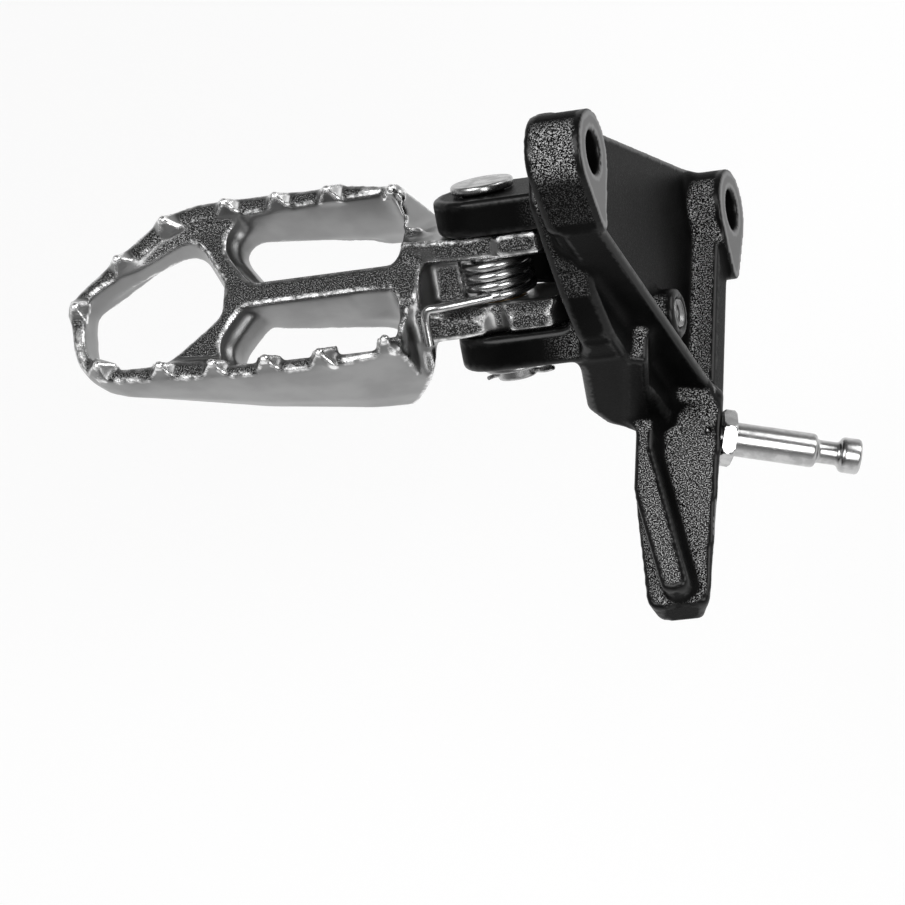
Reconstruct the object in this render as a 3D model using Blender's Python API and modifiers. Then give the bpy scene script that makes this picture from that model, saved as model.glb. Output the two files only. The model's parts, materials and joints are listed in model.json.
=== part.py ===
"""Folding foot peg: a cast hanger bracket, a toothed cast tread that folds on a tilted hinge pin, and the
spring, pin and post that go with them. Metres, +Z up, +X inboard, +Y forward. The origin lies on the upper
bolt pad, beside its bore."""

import math

import bmesh
import bpy
from mathutils import Matrix, Vector

MM = 0.001

# Fits
TOUCH_GAP = 0.3 * MM
RUNNING_GAP = 0.15 * MM
OVERLAP = 1.0 * MM
ROUND_STEPS = 32
CORNER_STEPS = 4

# Bolt pads: both lie on the plane x = 0, with the lower bore placed from the upper one
UPPER_BORE_Y = 8.0 * MM
UPPER_BORE_Z = 6.0 * MM
LOWER_BORE_Y = 42.2 * MM
LOWER_BORE_Z = -108.3 * MM
BOLT_BORE = 10.5 * MM
UPPER_LUG_RADIUS = 10.6 * MM
LOWER_LUG_RADIUS = 10.7 * MM
UPPER_LUG_DEPTH = 14.5 * MM
LOWER_LUG_DEPTH = 17.0 * MM
LUG_TAIL_LENGTH = 18.5 * MM
LUG_TAIL_RADIUS = 2.4 * MM
UPPER_TAIL_TURN = math.radians(215)
LOWER_TAIL_TURN = math.radians(200)
LUG_ROUND = 5.0 * MM

# Web between the lugs, its rear rib and its bottom bar
WEB_FACE = 9.5 * MM
WEB_THICKNESS = 5.0 * MM
REAR_FACE_Y = -16.0 * MM
RIB_WIDTH = 3.2 * MM
RIB_DEPTH = 6.0 * MM
RIB_TOP_Z = -10.0 * MM
BAR_TOP_Z = -103.0 * MM
BAR_HEIGHT = 9.0 * MM
BAR_DEPTH = 13.0 * MM
EDGE_RISE = 0.6 * MM
RIM_SETBACK = 0.9 * MM
SHOULDER = 5.0 * MM
BOSS_Y = -3.6 * MM
BOSS_Z = -77.6 * MM
BOSS_RADIUS = 6.5 * MM
BOSS_FACE = 3.0 * MM
INSERT_OUTER = 7.2 * MM
INSERT_BORE = 5.0 * MM

# Hinge: pin centre from the upper bore, and the pin's upward tilt towards the front
PIN_X = -43.0 * MM
PIN_Y = -0.4 * MM
PIN_Z = -53.0 * MM
PIN_TILT = math.radians(40.5)
PIN_DIAMETER = 10.0 * MM
PIN_HEAD_DIAMETER = 16.0 * MM
PIN_HEAD_HEIGHT = 2.3 * MM
PIN_TAIL = 4.4 * MM
CLEVIS_GAP = 25.7 * MM
FRONT_ARM = 9.3 * MM
REAR_ARM = 8.9 * MM
ARM_RADIUS = 13.0 * MM
BACK_WALL = 20.2 * MM
RECESS_WALL = 23.4 * MM
RECESS_HEIGHT = 12.2 * MM
WASHER_DIAMETER = 15.6 * MM
WASHER_THICKNESS = 1.4 * MM
SPLIT_WIRE = 1.1 * MM
SPLIT_EYE = 1.7 * MM
SPLIT_LEG = 2.2 * MM

# Bracket body behind the clevis
BODY_INNER = 10.0 * MM
BODY_REAR_Y = -24.5 * MM
BODY_TOP_Z = -9.0 * MM
BODY_BOTTOM_Z = -106.0 * MM
BODY_FRONT_Y = 25.0 * MM
BLOCK_REACH = 6.4 * MM

# Leg that runs rearward from the bracket's lower corner, and the spring post screwed into its side
LEG_END_Y = -74.5 * MM
LEG_INNER = 1.2 * MM
LEG_OUTER = -21.0 * MM
LEG_END_OUTER = -17.0 * MM
LEG_FLOOR_Z = -100.0 * MM
LEG_BOTTOM_Z = -109.0 * MM
RIDGE_TOP_Z = -92.0 * MM
RIDGE_ROOT_WIDTH = 4.8 * MM
RIDGE_END_WIDTH = 7.6 * MM
POST_X = -1.0 * MM
POST_Y = -25.5 * MM
POST_Z = -105.4 * MM
POST_DROP = math.radians(28.9)
POST_SWING = math.radians(-2.3)
POST_HEX = 12.6 * MM
POST_HEX_HEIGHT = 3.4 * MM
POST_SHANK = 8.7 * MM
POST_SHANK_LENGTH = 21.2 * MM
POST_NECK = 5.9 * MM
POST_NECK_LENGTH = 6.4 * MM
POST_END = 9.1 * MM
POST_END_LENGTH = 5.4 * MM
POST_THREAD = 6.0 * MM
POST_THREAD_LENGTH = 3.8 * MM

# Tread, measured from the pin centre with its own axes level
TREAD_REACH = 114.0 * MM
TREAD_HALF_WIDTH = 25.4 * MM
TOOTH_TOP = 15.0 * MM
TOOTH_HEIGHT = 4.0 * MM
TOOTH_BASE = 7.0 * MM
TOOTH_TIP = 1.7 * MM
TOOTH_DOME = 1.05 * MM
RIM_WIDTH = 5.2 * MM
DECK_DROP = 2.0 * MM
TIP_BOTTOM = 2.0 * MM
ROOT_BOTTOM = -20.5 * MM
ROOT_TWIST = 4.5 * MM
ROOT_X = -19.0 * MM
HOLLOW = 5.5 * MM
BAR_WIDTH = 4.9 * MM
SPINE_FRONT_Y = 3.6 * MM
SPINE_REAR_Y = -4.0 * MM
LOOP_ROOT_X = -69.6 * MM

# Hinge ears on the tread, in the hinge's own axes
FRONT_EAR_INNER = 6.5 * MM
REAR_EAR_INNER = 5.0 * MM
EAR_TOP = 12.0 * MM
EAR_BOTTOM = -12.0 * MM
EAR_SWEEP = 19.4 * MM
ROOT_TOP = 13.2 * MM
STOP_LOW = -10.0 * MM
STOP_HIGH = -3.0 * MM
BUSH_DIAMETER = 12.0 * MM
SLEEVE_DIAMETER = 12.8 * MM

# Torsion spring
SPRING_WIRE = 2.4 * MM
SPRING_MEAN_RADIUS = 8.1 * MM
SPRING_TURNS = 3.25
SPRING_LEG_LEVEL = -4.5 * MM
SPRING_HOLE_DEPTH = 4.0 * MM
SPRING_PITCH = 2.56 * MM
TURN_POINTS = 18

VALLEY = TOOTH_TOP - TOOTH_HEIGHT
DECK = VALLEY - DECK_DROP
BACK_WALL_X = PIN_X + BACK_WALL
FRONT_OUTER = CLEVIS_GAP / 2 + FRONT_ARM
REAR_OUTER = CLEVIS_GAP / 2 + REAR_ARM
EAR_OUTER = CLEVIS_GAP / 2 - TOUCH_GAP

UPPER_BORE = Vector((0, UPPER_BORE_Y, UPPER_BORE_Z))
LOWER_BORE = Vector((LOWER_BORE_Y, LOWER_BORE_Z))
PIN_CENTRE = Vector((PIN_X, PIN_Y, PIN_Z))
CROSSWAYS = Matrix(((0, 0, 1), (1, 0, 0), (0, 1, 0))).to_4x4()
LENGTHWAYS = Matrix(((0, 1, 0), (0, 0, 1), (1, 0, 0))).to_4x4()
LEVEL = Matrix.Identity(4)


# Scene and materials


def clear_scene():
    for obj in list(bpy.data.objects):
        bpy.data.objects.remove(obj, do_unlink=True)


def collection(name):
    made = bpy.data.collections.new(name)
    bpy.context.scene.collection.children.link(made)
    return made


def datum(name, parent, location, tilt=0.0):
    """An empty that carries the pieces built in its axes."""
    empty = bpy.data.objects.new(name, None)
    empty.empty_display_size = 10 * MM
    empty.parent = parent
    empty.location = location
    empty.rotation_euler = (tilt, 0, 0)
    PARTS.objects.link(empty)
    return empty


def material(name, colour, roughness, metallic):
    made = bpy.data.materials.new(name)
    made.use_nodes = True
    shader = made.node_tree.nodes["Principled BSDF"]
    shader.inputs["Base Color"].default_value = (*colour, 1)
    shader.inputs["Roughness"].default_value = roughness
    shader.inputs["Metallic"].default_value = metallic
    return made


# Shapes


def shape(name, mesh, parent, place=LEVEL):
    """A helper object: a shape that is joined to or cut from a part."""
    obj = bpy.data.objects.new(name, mesh)
    obj.parent = parent
    obj.matrix_local = place
    obj.hide_render = True
    obj.display_type = "WIRE"
    HELPERS.objects.link(obj)
    return obj


def from_bmesh(name, bm, parent, place=LEVEL):
    bmesh.ops.recalc_face_normals(bm, faces=bm.faces)
    mesh = bpy.data.meshes.new(name)
    bm.to_mesh(mesh)
    bm.free()
    return shape(name, mesh, parent, place)


def from_curve(name, curve, parent, place=LEVEL):
    """A curve's solid as a mesh, with its caps welded on."""
    guide = bpy.data.objects.new(name + "_guide", curve)
    HELPERS.objects.link(guide)
    graph = bpy.context.evaluated_depsgraph_get()
    mesh = bpy.data.meshes.new_from_object(guide.evaluated_get(graph))
    bpy.data.objects.remove(guide, do_unlink=True)
    bm = bmesh.new()
    bm.from_mesh(mesh)
    bmesh.ops.remove_doubles(bm, verts=bm.verts, dist=0.001 * MM)
    return from_bmesh(name, bm, parent, place)


def extruded(name, outline, low, high, turn, parent):
    """A flat outline carried from low to high: along X with CROSSWAYS (points are y, z), along Y with
    LENGTHWAYS (points are z, x) and along Z with LEVEL (points are x, y)."""
    curve = bpy.data.curves.new(name, "CURVE")
    curve.dimensions = "2D"
    curve.fill_mode = "BOTH"
    curve.extrude = (high - low) / 2
    spline = curve.splines.new("POLY")
    spline.points.add(len(outline) - 1)
    spline.use_cyclic_u = True
    for point, (u, v) in zip(spline.points, outline):
        point.co = (u, v, 0, 1)
    return from_curve(name, curve, parent, turn @ Matrix.Translation((0, 0, (low + high) / 2)))


def rounded(corners):
    """An outline from corners given as (u, v, radius)."""
    outline = []
    for index, (u, v, radius) in enumerate(corners):
        corner = Vector((u, v))
        before = (Vector(corners[index - 1][:2]) - corner).normalized()
        after = (Vector(corners[(index + 1) % len(corners)][:2]) - corner).normalized()
        if radius == 0:
            outline.append(corner)
            continue
        half = before.angle(after) / 2
        centre = corner + (before + after).normalized() * radius / math.sin(half)
        first = corner + before * radius / math.tan(half) - centre
        last = corner + after * radius / math.tan(half) - centre
        sweep = first.angle_signed(last)
        for step in range(CORNER_STEPS + 1):
            outline.append(centre + Matrix.Rotation(-sweep * step / CORNER_STEPS, 2) @ first)
    return outline


def inset(outline, distance):
    """The outline moved inwards, where it runs anticlockwise."""
    moved = []
    for index, point in enumerate(outline):
        before = (point - outline[index - 1]).normalized()
        after = (outline[(index + 1) % len(outline)] - point).normalized()
        inward = Vector((-before.y - after.y, before.x + after.x)).normalized()
        square = Vector((-after.y, after.x))
        moved.append(point + inward * distance / max(inward.dot(square), 0.5))
    return moved


def teardrop(centre, radius, turn):
    """A lug's outline: the round around its bore and a tail that points along turn."""
    length = LUG_TAIL_LENGTH - LUG_TAIL_RADIUS
    tail = centre + Vector((math.cos(turn), math.sin(turn))) * length
    spread = math.acos((radius - LUG_TAIL_RADIUS) / length)
    outline = arc(centre, radius, turn + spread, turn + 2 * math.pi - spread, ROUND_STEPS * 3 // 4)
    return outline + arc(tail, LUG_TAIL_RADIUS, turn - spread, turn + spread, CORNER_STEPS)


def arc(centre, radius, start, end, steps):
    turns = [start + (end - start) * step / steps for step in range(steps + 1)]
    return [centre + Vector((math.cos(turn), math.sin(turn))) * radius for turn in turns]


def drum(name, radius, low, high, turn, centre, parent, sides=ROUND_STEPS):
    """A cylinder from low to high along the turn's axis, with its centre given across that axis."""
    bm = bmesh.new()
    bmesh.ops.create_cone(
        bm, cap_ends=True, segments=sides, radius1=radius, radius2=radius, depth=high - low
    )
    return from_bmesh(name, bm, parent, turn @ Matrix.Translation((*centre, (low + high) / 2)))


def block(name, low, high, parent, place=LEVEL):
    """A box between two corners."""
    bm = bmesh.new()
    bmesh.ops.create_cube(bm, size=1)
    size = [b - a for a, b in zip(low, high)]
    middle = (Vector(low) + Vector(high)) / 2
    bmesh.ops.transform(bm, matrix=Matrix.Translation(middle) @ Matrix.Diagonal((*size, 1)), verts=bm.verts)
    return from_bmesh(name, bm, parent, place)


def hull(name, points, parent):
    bm = bmesh.new()
    for point in points:
        bm.verts.new(point)
    made = bmesh.ops.convex_hull(bm, input=bm.verts)
    bmesh.ops.delete(bm, geom=list(set(made["geom_interior"] + made["geom_unused"])), context="VERTS")
    return from_bmesh(name, bm, parent)


def loft(name, rings, parent):
    """A closed solid through rings of equally many points."""
    bm = bmesh.new()
    rows = [[bm.verts.new(point) for point in ring] for ring in rings]
    for row, above in zip(rows, rows[1:]):
        for index in range(len(row)):
            bm.faces.new((row[index - 1], row[index], above[index], above[index - 1]))
    bm.faces.new(rows[0])
    bm.faces.new(rows[-1])
    bmesh.ops.triangulate(bm, faces=bm.faces)
    return from_bmesh(name, bm, parent)


def turned(name, profile, parent, place=LEVEL):
    """A turned piece: radius and height points, top to bottom, swept about the local Z axis."""
    mesh = bpy.data.meshes.new(name)
    edges = [(index, index + 1) for index in range(len(profile) - 1)]
    mesh.from_pydata([(radius, 0, height) for radius, height in profile], edges, [])
    obj = shape(name, mesh, parent, place)
    screw = obj.modifiers.new("turn", "SCREW")
    screw.steps = ROUND_STEPS
    screw.render_steps = ROUND_STEPS
    screw.use_merge_vertices = True
    screw.merge_threshold = 0.001 * MM
    return obj


def combine(target, others, operation):
    for other in others:
        boolean = target.modifiers.new(other.name, "BOOLEAN")
        boolean.operation = operation
        boolean.solver = "EXACT"
        boolean.object = other


def part(obj, finish):
    """A finished part: shown, shaded smooth where it is round, with its finish."""
    HELPERS.objects.unlink(obj)
    PARTS.objects.link(obj)
    obj.hide_render = False
    obj.display_type = "TEXTURED"
    obj.data.materials.append(finish)
    obj.data.shade_smooth()
    obj.data.set_sharp_from_angle(angle=math.radians(30))


# Bracket


def bracket_lugs(parent):
    lugs = []
    for name, centre, radius, turn, depth in (
        ("upper_lug", Vector((0, 0)), UPPER_LUG_RADIUS, UPPER_TAIL_TURN, UPPER_LUG_DEPTH),
        ("lower_lug", LOWER_BORE, LOWER_LUG_RADIUS, LOWER_TAIL_TURN, LOWER_LUG_DEPTH),
    ):
        outline = teardrop(centre, radius, turn)
        lug = extruded(name, outline, -depth, LUG_ROUND + OVERLAP, CROSSWAYS, parent)
        bevel = lug.modifiers.new("round", "BEVEL")
        bevel.width = LUG_ROUND
        bevel.segments = CORNER_STEPS
        bevel.angle_limit = math.radians(60)
        lugs.append(lug)
    return lugs


def bracket_web(parent):
    """The plate between the lugs, the rib down its rear edge, the bar along its foot and the small boss."""
    span = LOWER_BORE.length
    lean = math.atan2(-LOWER_BORE.y, LOWER_BORE.x)
    square = math.pi / 2 - lean + math.asin((LOWER_LUG_RADIUS - UPPER_LUG_RADIUS) / span)
    rib_middle = REAR_FACE_Y + RIB_WIDTH / 2
    outline = arc(LOWER_BORE, LOWER_LUG_RADIUS + EDGE_RISE, -math.pi / 2, square, CORNER_STEPS * 2)
    outline += [Vector((math.cos(square), math.sin(square))) * (UPPER_LUG_RADIUS + EDGE_RISE), Vector((0, 0))]
    outline += [Vector((rib_middle, RIB_TOP_Z)), Vector((rib_middle, BAR_TOP_Z))]
    return [
        extruded("web", outline, -WEB_FACE - WEB_THICKNESS, -WEB_FACE, CROSSWAYS, parent),
        block(
            "rear_rib",
            (-RIB_DEPTH - WEB_THICKNESS, REAR_FACE_Y, BAR_TOP_Z - OVERLAP),
            (-RIM_SETBACK, REAR_FACE_Y + RIB_WIDTH, RIB_TOP_Z),
            parent,
        ),
        block(
            "bottom_bar",
            (-BAR_DEPTH, REAR_FACE_Y + OVERLAP, BAR_TOP_Z - BAR_HEIGHT),
            (-2 * RIM_SETBACK, LOWER_BORE.x - LOWER_LUG_RADIUS, BAR_TOP_Z),
            parent,
        ),
        drum("boss", BOSS_RADIUS, -WEB_FACE - OVERLAP, -BOSS_FACE, CROSSWAYS, (BOSS_Y, BOSS_Z), parent),
    ]


def bracket_body(parent):
    """The thick wall that the clevis arms grow from, and the block below them."""
    slope_y = BODY_REAR_Y + 4.5 * MM
    wall = rounded(
        [
            (UPPER_LUG_RADIUS * 0.8, BODY_TOP_Z + 5 * MM, 4 * MM),
            (-UPPER_LUG_RADIUS * 0.7, BODY_TOP_Z, 4 * MM),
            (slope_y, PIN_Z + 19 * MM, 8 * MM),
            (BODY_REAR_Y, PIN_Z + 6 * MM, 6 * MM),
            (BODY_REAR_Y, BODY_BOTTOM_Z + 14 * MM, 6 * MM),
            (REAR_FACE_Y, BODY_BOTTOM_Z, 5 * MM),
            (BODY_FRONT_Y - 19 * MM, BODY_BOTTOM_Z, 5 * MM),
            (BODY_FRONT_Y, PIN_Z - 19 * MM, 8 * MM),
            (BODY_FRONT_Y, PIN_Z + 15 * MM, 8 * MM),
        ]
    )
    outer = BACK_WALL_X - BLOCK_REACH
    under = rounded(
        [
            (PIN_Z + 3 * MM, BACK_WALL_X + 3.6 * MM, 3 * MM),
            (PIN_Z + 3 * MM, -BODY_INNER - OVERLAP, 0),
            (BODY_BOTTOM_Z + 7 * MM, -BODY_INNER - OVERLAP, 0),
            (BODY_BOTTOM_Z + 7 * MM, BACK_WALL_X + 2.6 * MM, 4 * MM),
            (BODY_BOTTOM_Z + 13 * MM, outer + 2.3 * MM, 4 * MM),
            (BODY_BOTTOM_Z + 22 * MM, outer, 4 * MM),
            (PIN_Z - 9 * MM, BACK_WALL_X - 0.9 * MM, 4 * MM),
        ]
    )
    inner = -BODY_INNER + 4.5 * MM
    ridge = LEG_OUTER + RIDGE_ROOT_WIDTH
    gusset = [
        (x, y, z)
        for y in (BODY_REAR_Y - OVERLAP, REAR_FACE_Y + OVERLAP)
        for x, z in (
            (inner - RIDGE_ROOT_WIDTH, PIN_Z - 6 * MM),
            (inner, PIN_Z - 8 * MM),
            (ridge, RIDGE_TOP_Z + OVERLAP),
            (ridge, RIDGE_TOP_Z - 4 * MM),
            (LEG_OUTER, RIDGE_TOP_Z - 4 * MM),
            (LEG_OUTER, RIDGE_TOP_Z + OVERLAP),
        )
    ]
    low = LEG_FLOOR_Z - OVERLAP
    shoulder = [
        (x, y, z)
        for x, rise in ((ridge - OVERLAP, 2.4 * SHOULDER), (LEG_INNER - RIM_SETBACK, 0.8 * SHOULDER))
        for y, z in (
            (REAR_FACE_Y + OVERLAP, low),
            (REAR_FACE_Y - SHOULDER, low),
            (REAR_FACE_Y - 0.3 * MM, low + rise),
            (REAR_FACE_Y + OVERLAP, low + rise),
        )
    ]
    return [
        extruded("body_wall", wall, BACK_WALL_X, -BODY_INNER, CROSSWAYS, parent),
        extruded("lower_block", under, BODY_REAR_Y - 0.4 * MM, BODY_REAR_Y + 11 * MM, LENGTHWAYS, parent),
        hull("leg_gusset", gusset, parent),
        hull("leg_shoulder", shoulder, parent),
    ]


def bracket_leg(parent):
    """The leg's floor and the ridge along its outer side."""
    outer_bend = REAR_FACE_Y - 29 * MM
    inner_bend = REAR_FACE_Y - 17 * MM
    end_y = LEG_END_Y + MM
    end_outer = LEG_END_OUTER + 6.4 * MM
    crest_outer = LEG_OUTER + 1.9 * MM
    floor = rounded(
        [
            (LEG_INNER, REAR_FACE_Y + RIB_WIDTH / 2, 0),
            (LEG_OUTER, REAR_FACE_Y + RIB_WIDTH / 2, 0),
            (LEG_OUTER, outer_bend, 15 * MM),
            (LEG_END_OUTER, LEG_END_Y, 4 * MM),
            (LEG_INNER, LEG_END_Y, 5 * MM),
        ]
    )
    ridge = rounded(
        [
            (crest_outer + RIDGE_ROOT_WIDTH, REAR_FACE_Y + 4 * MM, 0),
            (crest_outer, REAR_FACE_Y + 4 * MM, 0),
            (crest_outer, outer_bend, 15 * MM),
            (end_outer, end_y, 2.5 * MM),
            (end_outer + RIDGE_END_WIDTH, end_y, 2.5 * MM),
            (crest_outer + RIDGE_ROOT_WIDTH, inner_bend, 12 * MM),
        ]
    )
    return [
        extruded("leg_floor", floor, LEG_BOTTOM_Z, LEG_FLOOR_Z, LEVEL, parent),
        extruded("leg_ridge", ridge, LEG_BOTTOM_Z + OVERLAP, RIDGE_TOP_Z, LEVEL, parent),
    ]


def clevis_recess(hinge):
    """The body wall set back above the clevis, so that the ears can swing up."""
    wide = 4 * ARM_RADIUS
    return block("clevis_recess", (-wide, -wide, RECESS_HEIGHT), (RECESS_WALL, wide, 2 * wide), hinge)


def clevis_arms(parent):
    """Two arms around the hinge pin, in the hinge's axes."""
    outline = arc(Vector((0, 0)), ARM_RADIUS, 0, -math.pi, ROUND_STEPS // 2)
    root = -BODY_INNER - PIN_X - OVERLAP
    outline += [Vector((-ARM_RADIUS, root)), Vector((ARM_RADIUS, root))]
    return [
        extruded("front_arm", outline, CLEVIS_GAP / 2, FRONT_OUTER, LENGTHWAYS, parent),
        extruded("rear_arm", outline, -REAR_OUTER, -CLEVIS_GAP / 2, LENGTHWAYS, parent),
    ]


def post_place():
    """The post's seat on the leg, with Z along the post."""
    swing = Matrix.Rotation(POST_SWING, 4, "Z")
    drop = Matrix.Rotation(math.pi / 2 + POST_DROP, 4, "Y")
    return Matrix.Translation((POST_X, POST_Y, POST_Z)) @ swing @ drop


def bracket_cuts(parent, hinge):
    past = OVERLAP + LUG_ROUND + TOUCH_GAP
    seat = post_place()
    around = LUG_TAIL_LENGTH + OVERLAP
    lower_y, lower_z = LOWER_BORE
    return [
        block("upper_pad_cut", (0, -around, -around), (past, around, around), parent),
        block(
            "lower_pad_cut",
            (0, lower_y - around, lower_z - around),
            (past, lower_y + around, lower_z + around),
            parent,
        ),
        drum("upper_bore", BOLT_BORE / 2, -UPPER_LUG_DEPTH - OVERLAP, past, CROSSWAYS, (0, 0), parent),
        drum("lower_bore", BOLT_BORE / 2, -LOWER_LUG_DEPTH - OVERLAP, past, CROSSWAYS, LOWER_BORE, parent),
        drum(
            "boss_hole",
            INSERT_OUTER / 2 + RUNNING_GAP,
            BACK_WALL_X - OVERLAP,
            -BOSS_FACE + OVERLAP,
            CROSSWAYS,
            (BOSS_Y, BOSS_Z),
            parent,
        ),
        drum(
            "pin_hole",
            PIN_DIAMETER / 2 + RUNNING_GAP,
            -REAR_OUTER - OVERLAP,
            FRONT_OUTER + OVERLAP,
            LENGTHWAYS,
            (0, 0),
            hinge,
        ),
        block(
            "post_seat",
            (-2 * BAR_HEIGHT, LEG_END_Y - POST_Y - OVERLAP, 0),
            (2 * BAR_HEIGHT, REAR_FACE_Y + RIB_WIDTH / 2 + OVERLAP - POST_Y, 2 * BAR_HEIGHT),
            parent,
            seat,
        ),
        drum(
            "post_hole",
            POST_THREAD / 2 + RUNNING_GAP,
            -POST_THREAD_LENGTH - TOUCH_GAP,
            OVERLAP,
            seat,
            (0, 0),
            parent,
        ),
        drum(
            "spring_hole",
            SPRING_WIRE / 2 + TOUCH_GAP,
            BACK_WALL - OVERLAP,
            BACK_WALL + SPRING_HOLE_DEPTH,
            CROSSWAYS,
            (spring_end(), SPRING_LEG_LEVEL),
            hinge,
        ),
    ]


def make_bracket(bracket, hinge):
    walls = bracket_body(bracket)
    casting = walls[0]
    casting.name = "bracket_casting"
    joined = walls[1:] + bracket_lugs(bracket) + bracket_web(bracket)
    joined += bracket_leg(bracket) + clevis_arms(hinge)
    combine(casting, [clevis_recess(hinge)], "DIFFERENCE")
    combine(casting, joined, "UNION")
    combine(casting, bracket_cuts(bracket, hinge), "DIFFERENCE")
    part(casting, material("black_coating", (0.012, 0.012, 0.013), 0.45, 0.0))


# Tread


def tread_outline(root=ROOT_X):
    """The tread's outer edge seen from above, anticlockwise from the root's front corner."""
    side = TREAD_HALF_WIDTH
    tip = -TREAD_REACH
    return rounded(
        [
            (root, side - 2.4 * MM, 0),
            (tip + 76 * MM, side + 0.9 * MM, 25 * MM),
            (tip + 27.5 * MM, side + 1.6 * MM, 25 * MM),
            (tip, 2.8 * MM, 8 * MM),
            (tip + 4.5 * MM, -side + 3.8 * MM, 14 * MM),
            (tip + 50 * MM, -side + 0.1 * MM, 60 * MM),
            (tip + 76 * MM, -side - 0.2 * MM, 25 * MM),
            (root + 2 * MM, -side + 2 * MM, 0),
        ]
    )


def underside(x, y):
    """Height of the tread's underside: it deepens from the tip to the root, more so on the rear side."""
    share = (x + TREAD_REACH) / (TREAD_REACH + ROOT_X)
    return TIP_BOTTOM + share * (ROOT_BOTTOM - TIP_BOTTOM + ROOT_TWIST * y / TREAD_HALF_WIDTH)


def tread_body(parent):
    """The solid tread, with drafted sides and a round under edge."""
    rings = []
    for share, step_in in ((1.0, 4.0), (0.9, 1.5), (0.65, 0.0), (0.3, -0.4), (0.0, 0.0)):
        ring = []
        for around, point in zip(tread_outline(), inset(tread_outline(), step_in * MM)):
            height = VALLEY - share * (VALLEY - underside(around.x, around.y))
            ring.append((point.x, point.y, height))
        rings.append(ring)
    return loft("tread_body", rings, parent)


def station(outline, share):
    """The point at a share of the way along an open outline, and the direction there."""
    runs = [(b - a).length for a, b in zip(outline, outline[1:])]
    left = share * sum(runs)
    for (start, end), run in zip(zip(outline, outline[1:]), runs):
        if left <= run:
            return start + (end - start) * left / run, end - start
        left -= run
    return outline[-1], outline[-1] - outline[-2]


def tread_teeth(parent):
    """A pyramid with a small domed point at each station along the rim."""
    rim = inset(tread_outline(), RIM_WIDTH / 2)
    teeth = []
    stations = (0.018, 0.106, 0.176, 0.245, 0.33, 0.406, 0.489, 0.59, 0.676, 0.747, 0.818, 0.891, 0.977)
    for number, share in enumerate(stations):
        spot, along = station(rim, share)
        place = Matrix.Translation((*spot, VALLEY)) @ Matrix.Rotation(math.atan2(along.y, along.x), 4, "Z")
        bm = bmesh.new()
        base = math.sqrt(0.5) * TOOTH_BASE
        narrow = math.sqrt(0.5) * TOOTH_TIP
        rise = TOOTH_HEIGHT - TOOTH_DOME
        bmesh.ops.create_cone(
            bm, cap_ends=True, segments=4, radius1=base, radius2=narrow, depth=rise + OVERLAP
        )
        spread = Matrix.Diagonal((1, (RIM_WIDTH - 2 * TOUCH_GAP) / TOOTH_BASE, 1, 1))
        lift = Matrix.Translation((0, 0, (rise - OVERLAP) / 2))
        turn = Matrix.Rotation(math.pi / 4, 4, "Z")
        bmesh.ops.transform(bm, matrix=lift @ spread @ turn, verts=bm.verts)
        teeth.append(from_bmesh(f"tooth_{number}", bm, parent, place))
        dome = bmesh.new()
        bmesh.ops.create_icosphere(dome, subdivisions=2, radius=TOOTH_DOME)
        point = place @ Matrix.Translation((0, 0, rise))
        teeth.append(from_bmesh(f"tooth_point_{number}", dome, parent, point))
    return teeth


def tread_ears(parent):
    """Two ears around the pin, in the hinge's axes, with a stop foot that meets the bracket's wall."""
    reach = BACK_WALL - TOUCH_GAP
    top = math.asin(EAR_TOP / EAR_SWEEP)
    sweep = [Vector((v, u)) for u, v in arc(Vector((0, 0)), EAR_SWEEP, top, 0, CORNER_STEPS * 2)]
    foot = [
        Vector((STOP_HIGH, EAR_SWEEP)),
        Vector((STOP_HIGH - MM, reach)),
        Vector((STOP_LOW, reach)),
        Vector((EAR_BOTTOM, ARM_RADIUS)),
        Vector((EAR_BOTTOM, 0)),
    ]
    root = ROOT_X - BAR_WIDTH
    front_root = [Vector((-18 * MM, root)), Vector((3.5 * MM, root)), Vector((8 * MM, -ARM_RADIUS))]
    front_root += [Vector((EAR_TOP - 2 * MM, -3 * MM)), Vector((EAR_TOP - 2 * MM, 3 * MM))]
    front_root += [Vector((EAR_TOP, 5 * MM))]
    rear_root = [Vector((-13 * MM, root)), Vector((ROOT_TOP, root)), Vector((EAR_TOP, -ARM_RADIUS))]
    rear_root += [Vector((EAR_TOP, -3 * MM)), Vector((EAR_TOP - 3 * MM, 0))]
    rear_root += [Vector((EAR_TOP - 3 * MM, 2 * MM)), Vector((EAR_TOP, 4.5 * MM))]
    bridge_top = (DECK - FRONT_EAR_INNER * math.sin(PIN_TILT)) / math.cos(PIN_TILT) - OVERLAP
    bridge = [Vector((-15 * MM, root)), Vector((bridge_top, root)), Vector((bridge_top, ROOT_X - MM))]
    near_coil = -ARM_RADIUS + 4 * MM
    bridge += [Vector((2 * MM, ROOT_X - MM)), Vector((2 * MM, near_coil)), Vector((-12.5 * MM, near_coil))]
    ends = (-REAR_EAR_INNER - OVERLAP, FRONT_EAR_INNER + OVERLAP)
    return [
        extruded("ear_bridge", bridge, *ends, LENGTHWAYS, parent),
        extruded("front_ear", sweep + foot + front_root, FRONT_EAR_INNER, EAR_OUTER, LENGTHWAYS, parent),
        extruded("rear_ear", sweep + foot + rear_root, -EAR_OUTER, -REAR_EAR_INNER, LENGTHWAYS, parent),
    ]


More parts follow.
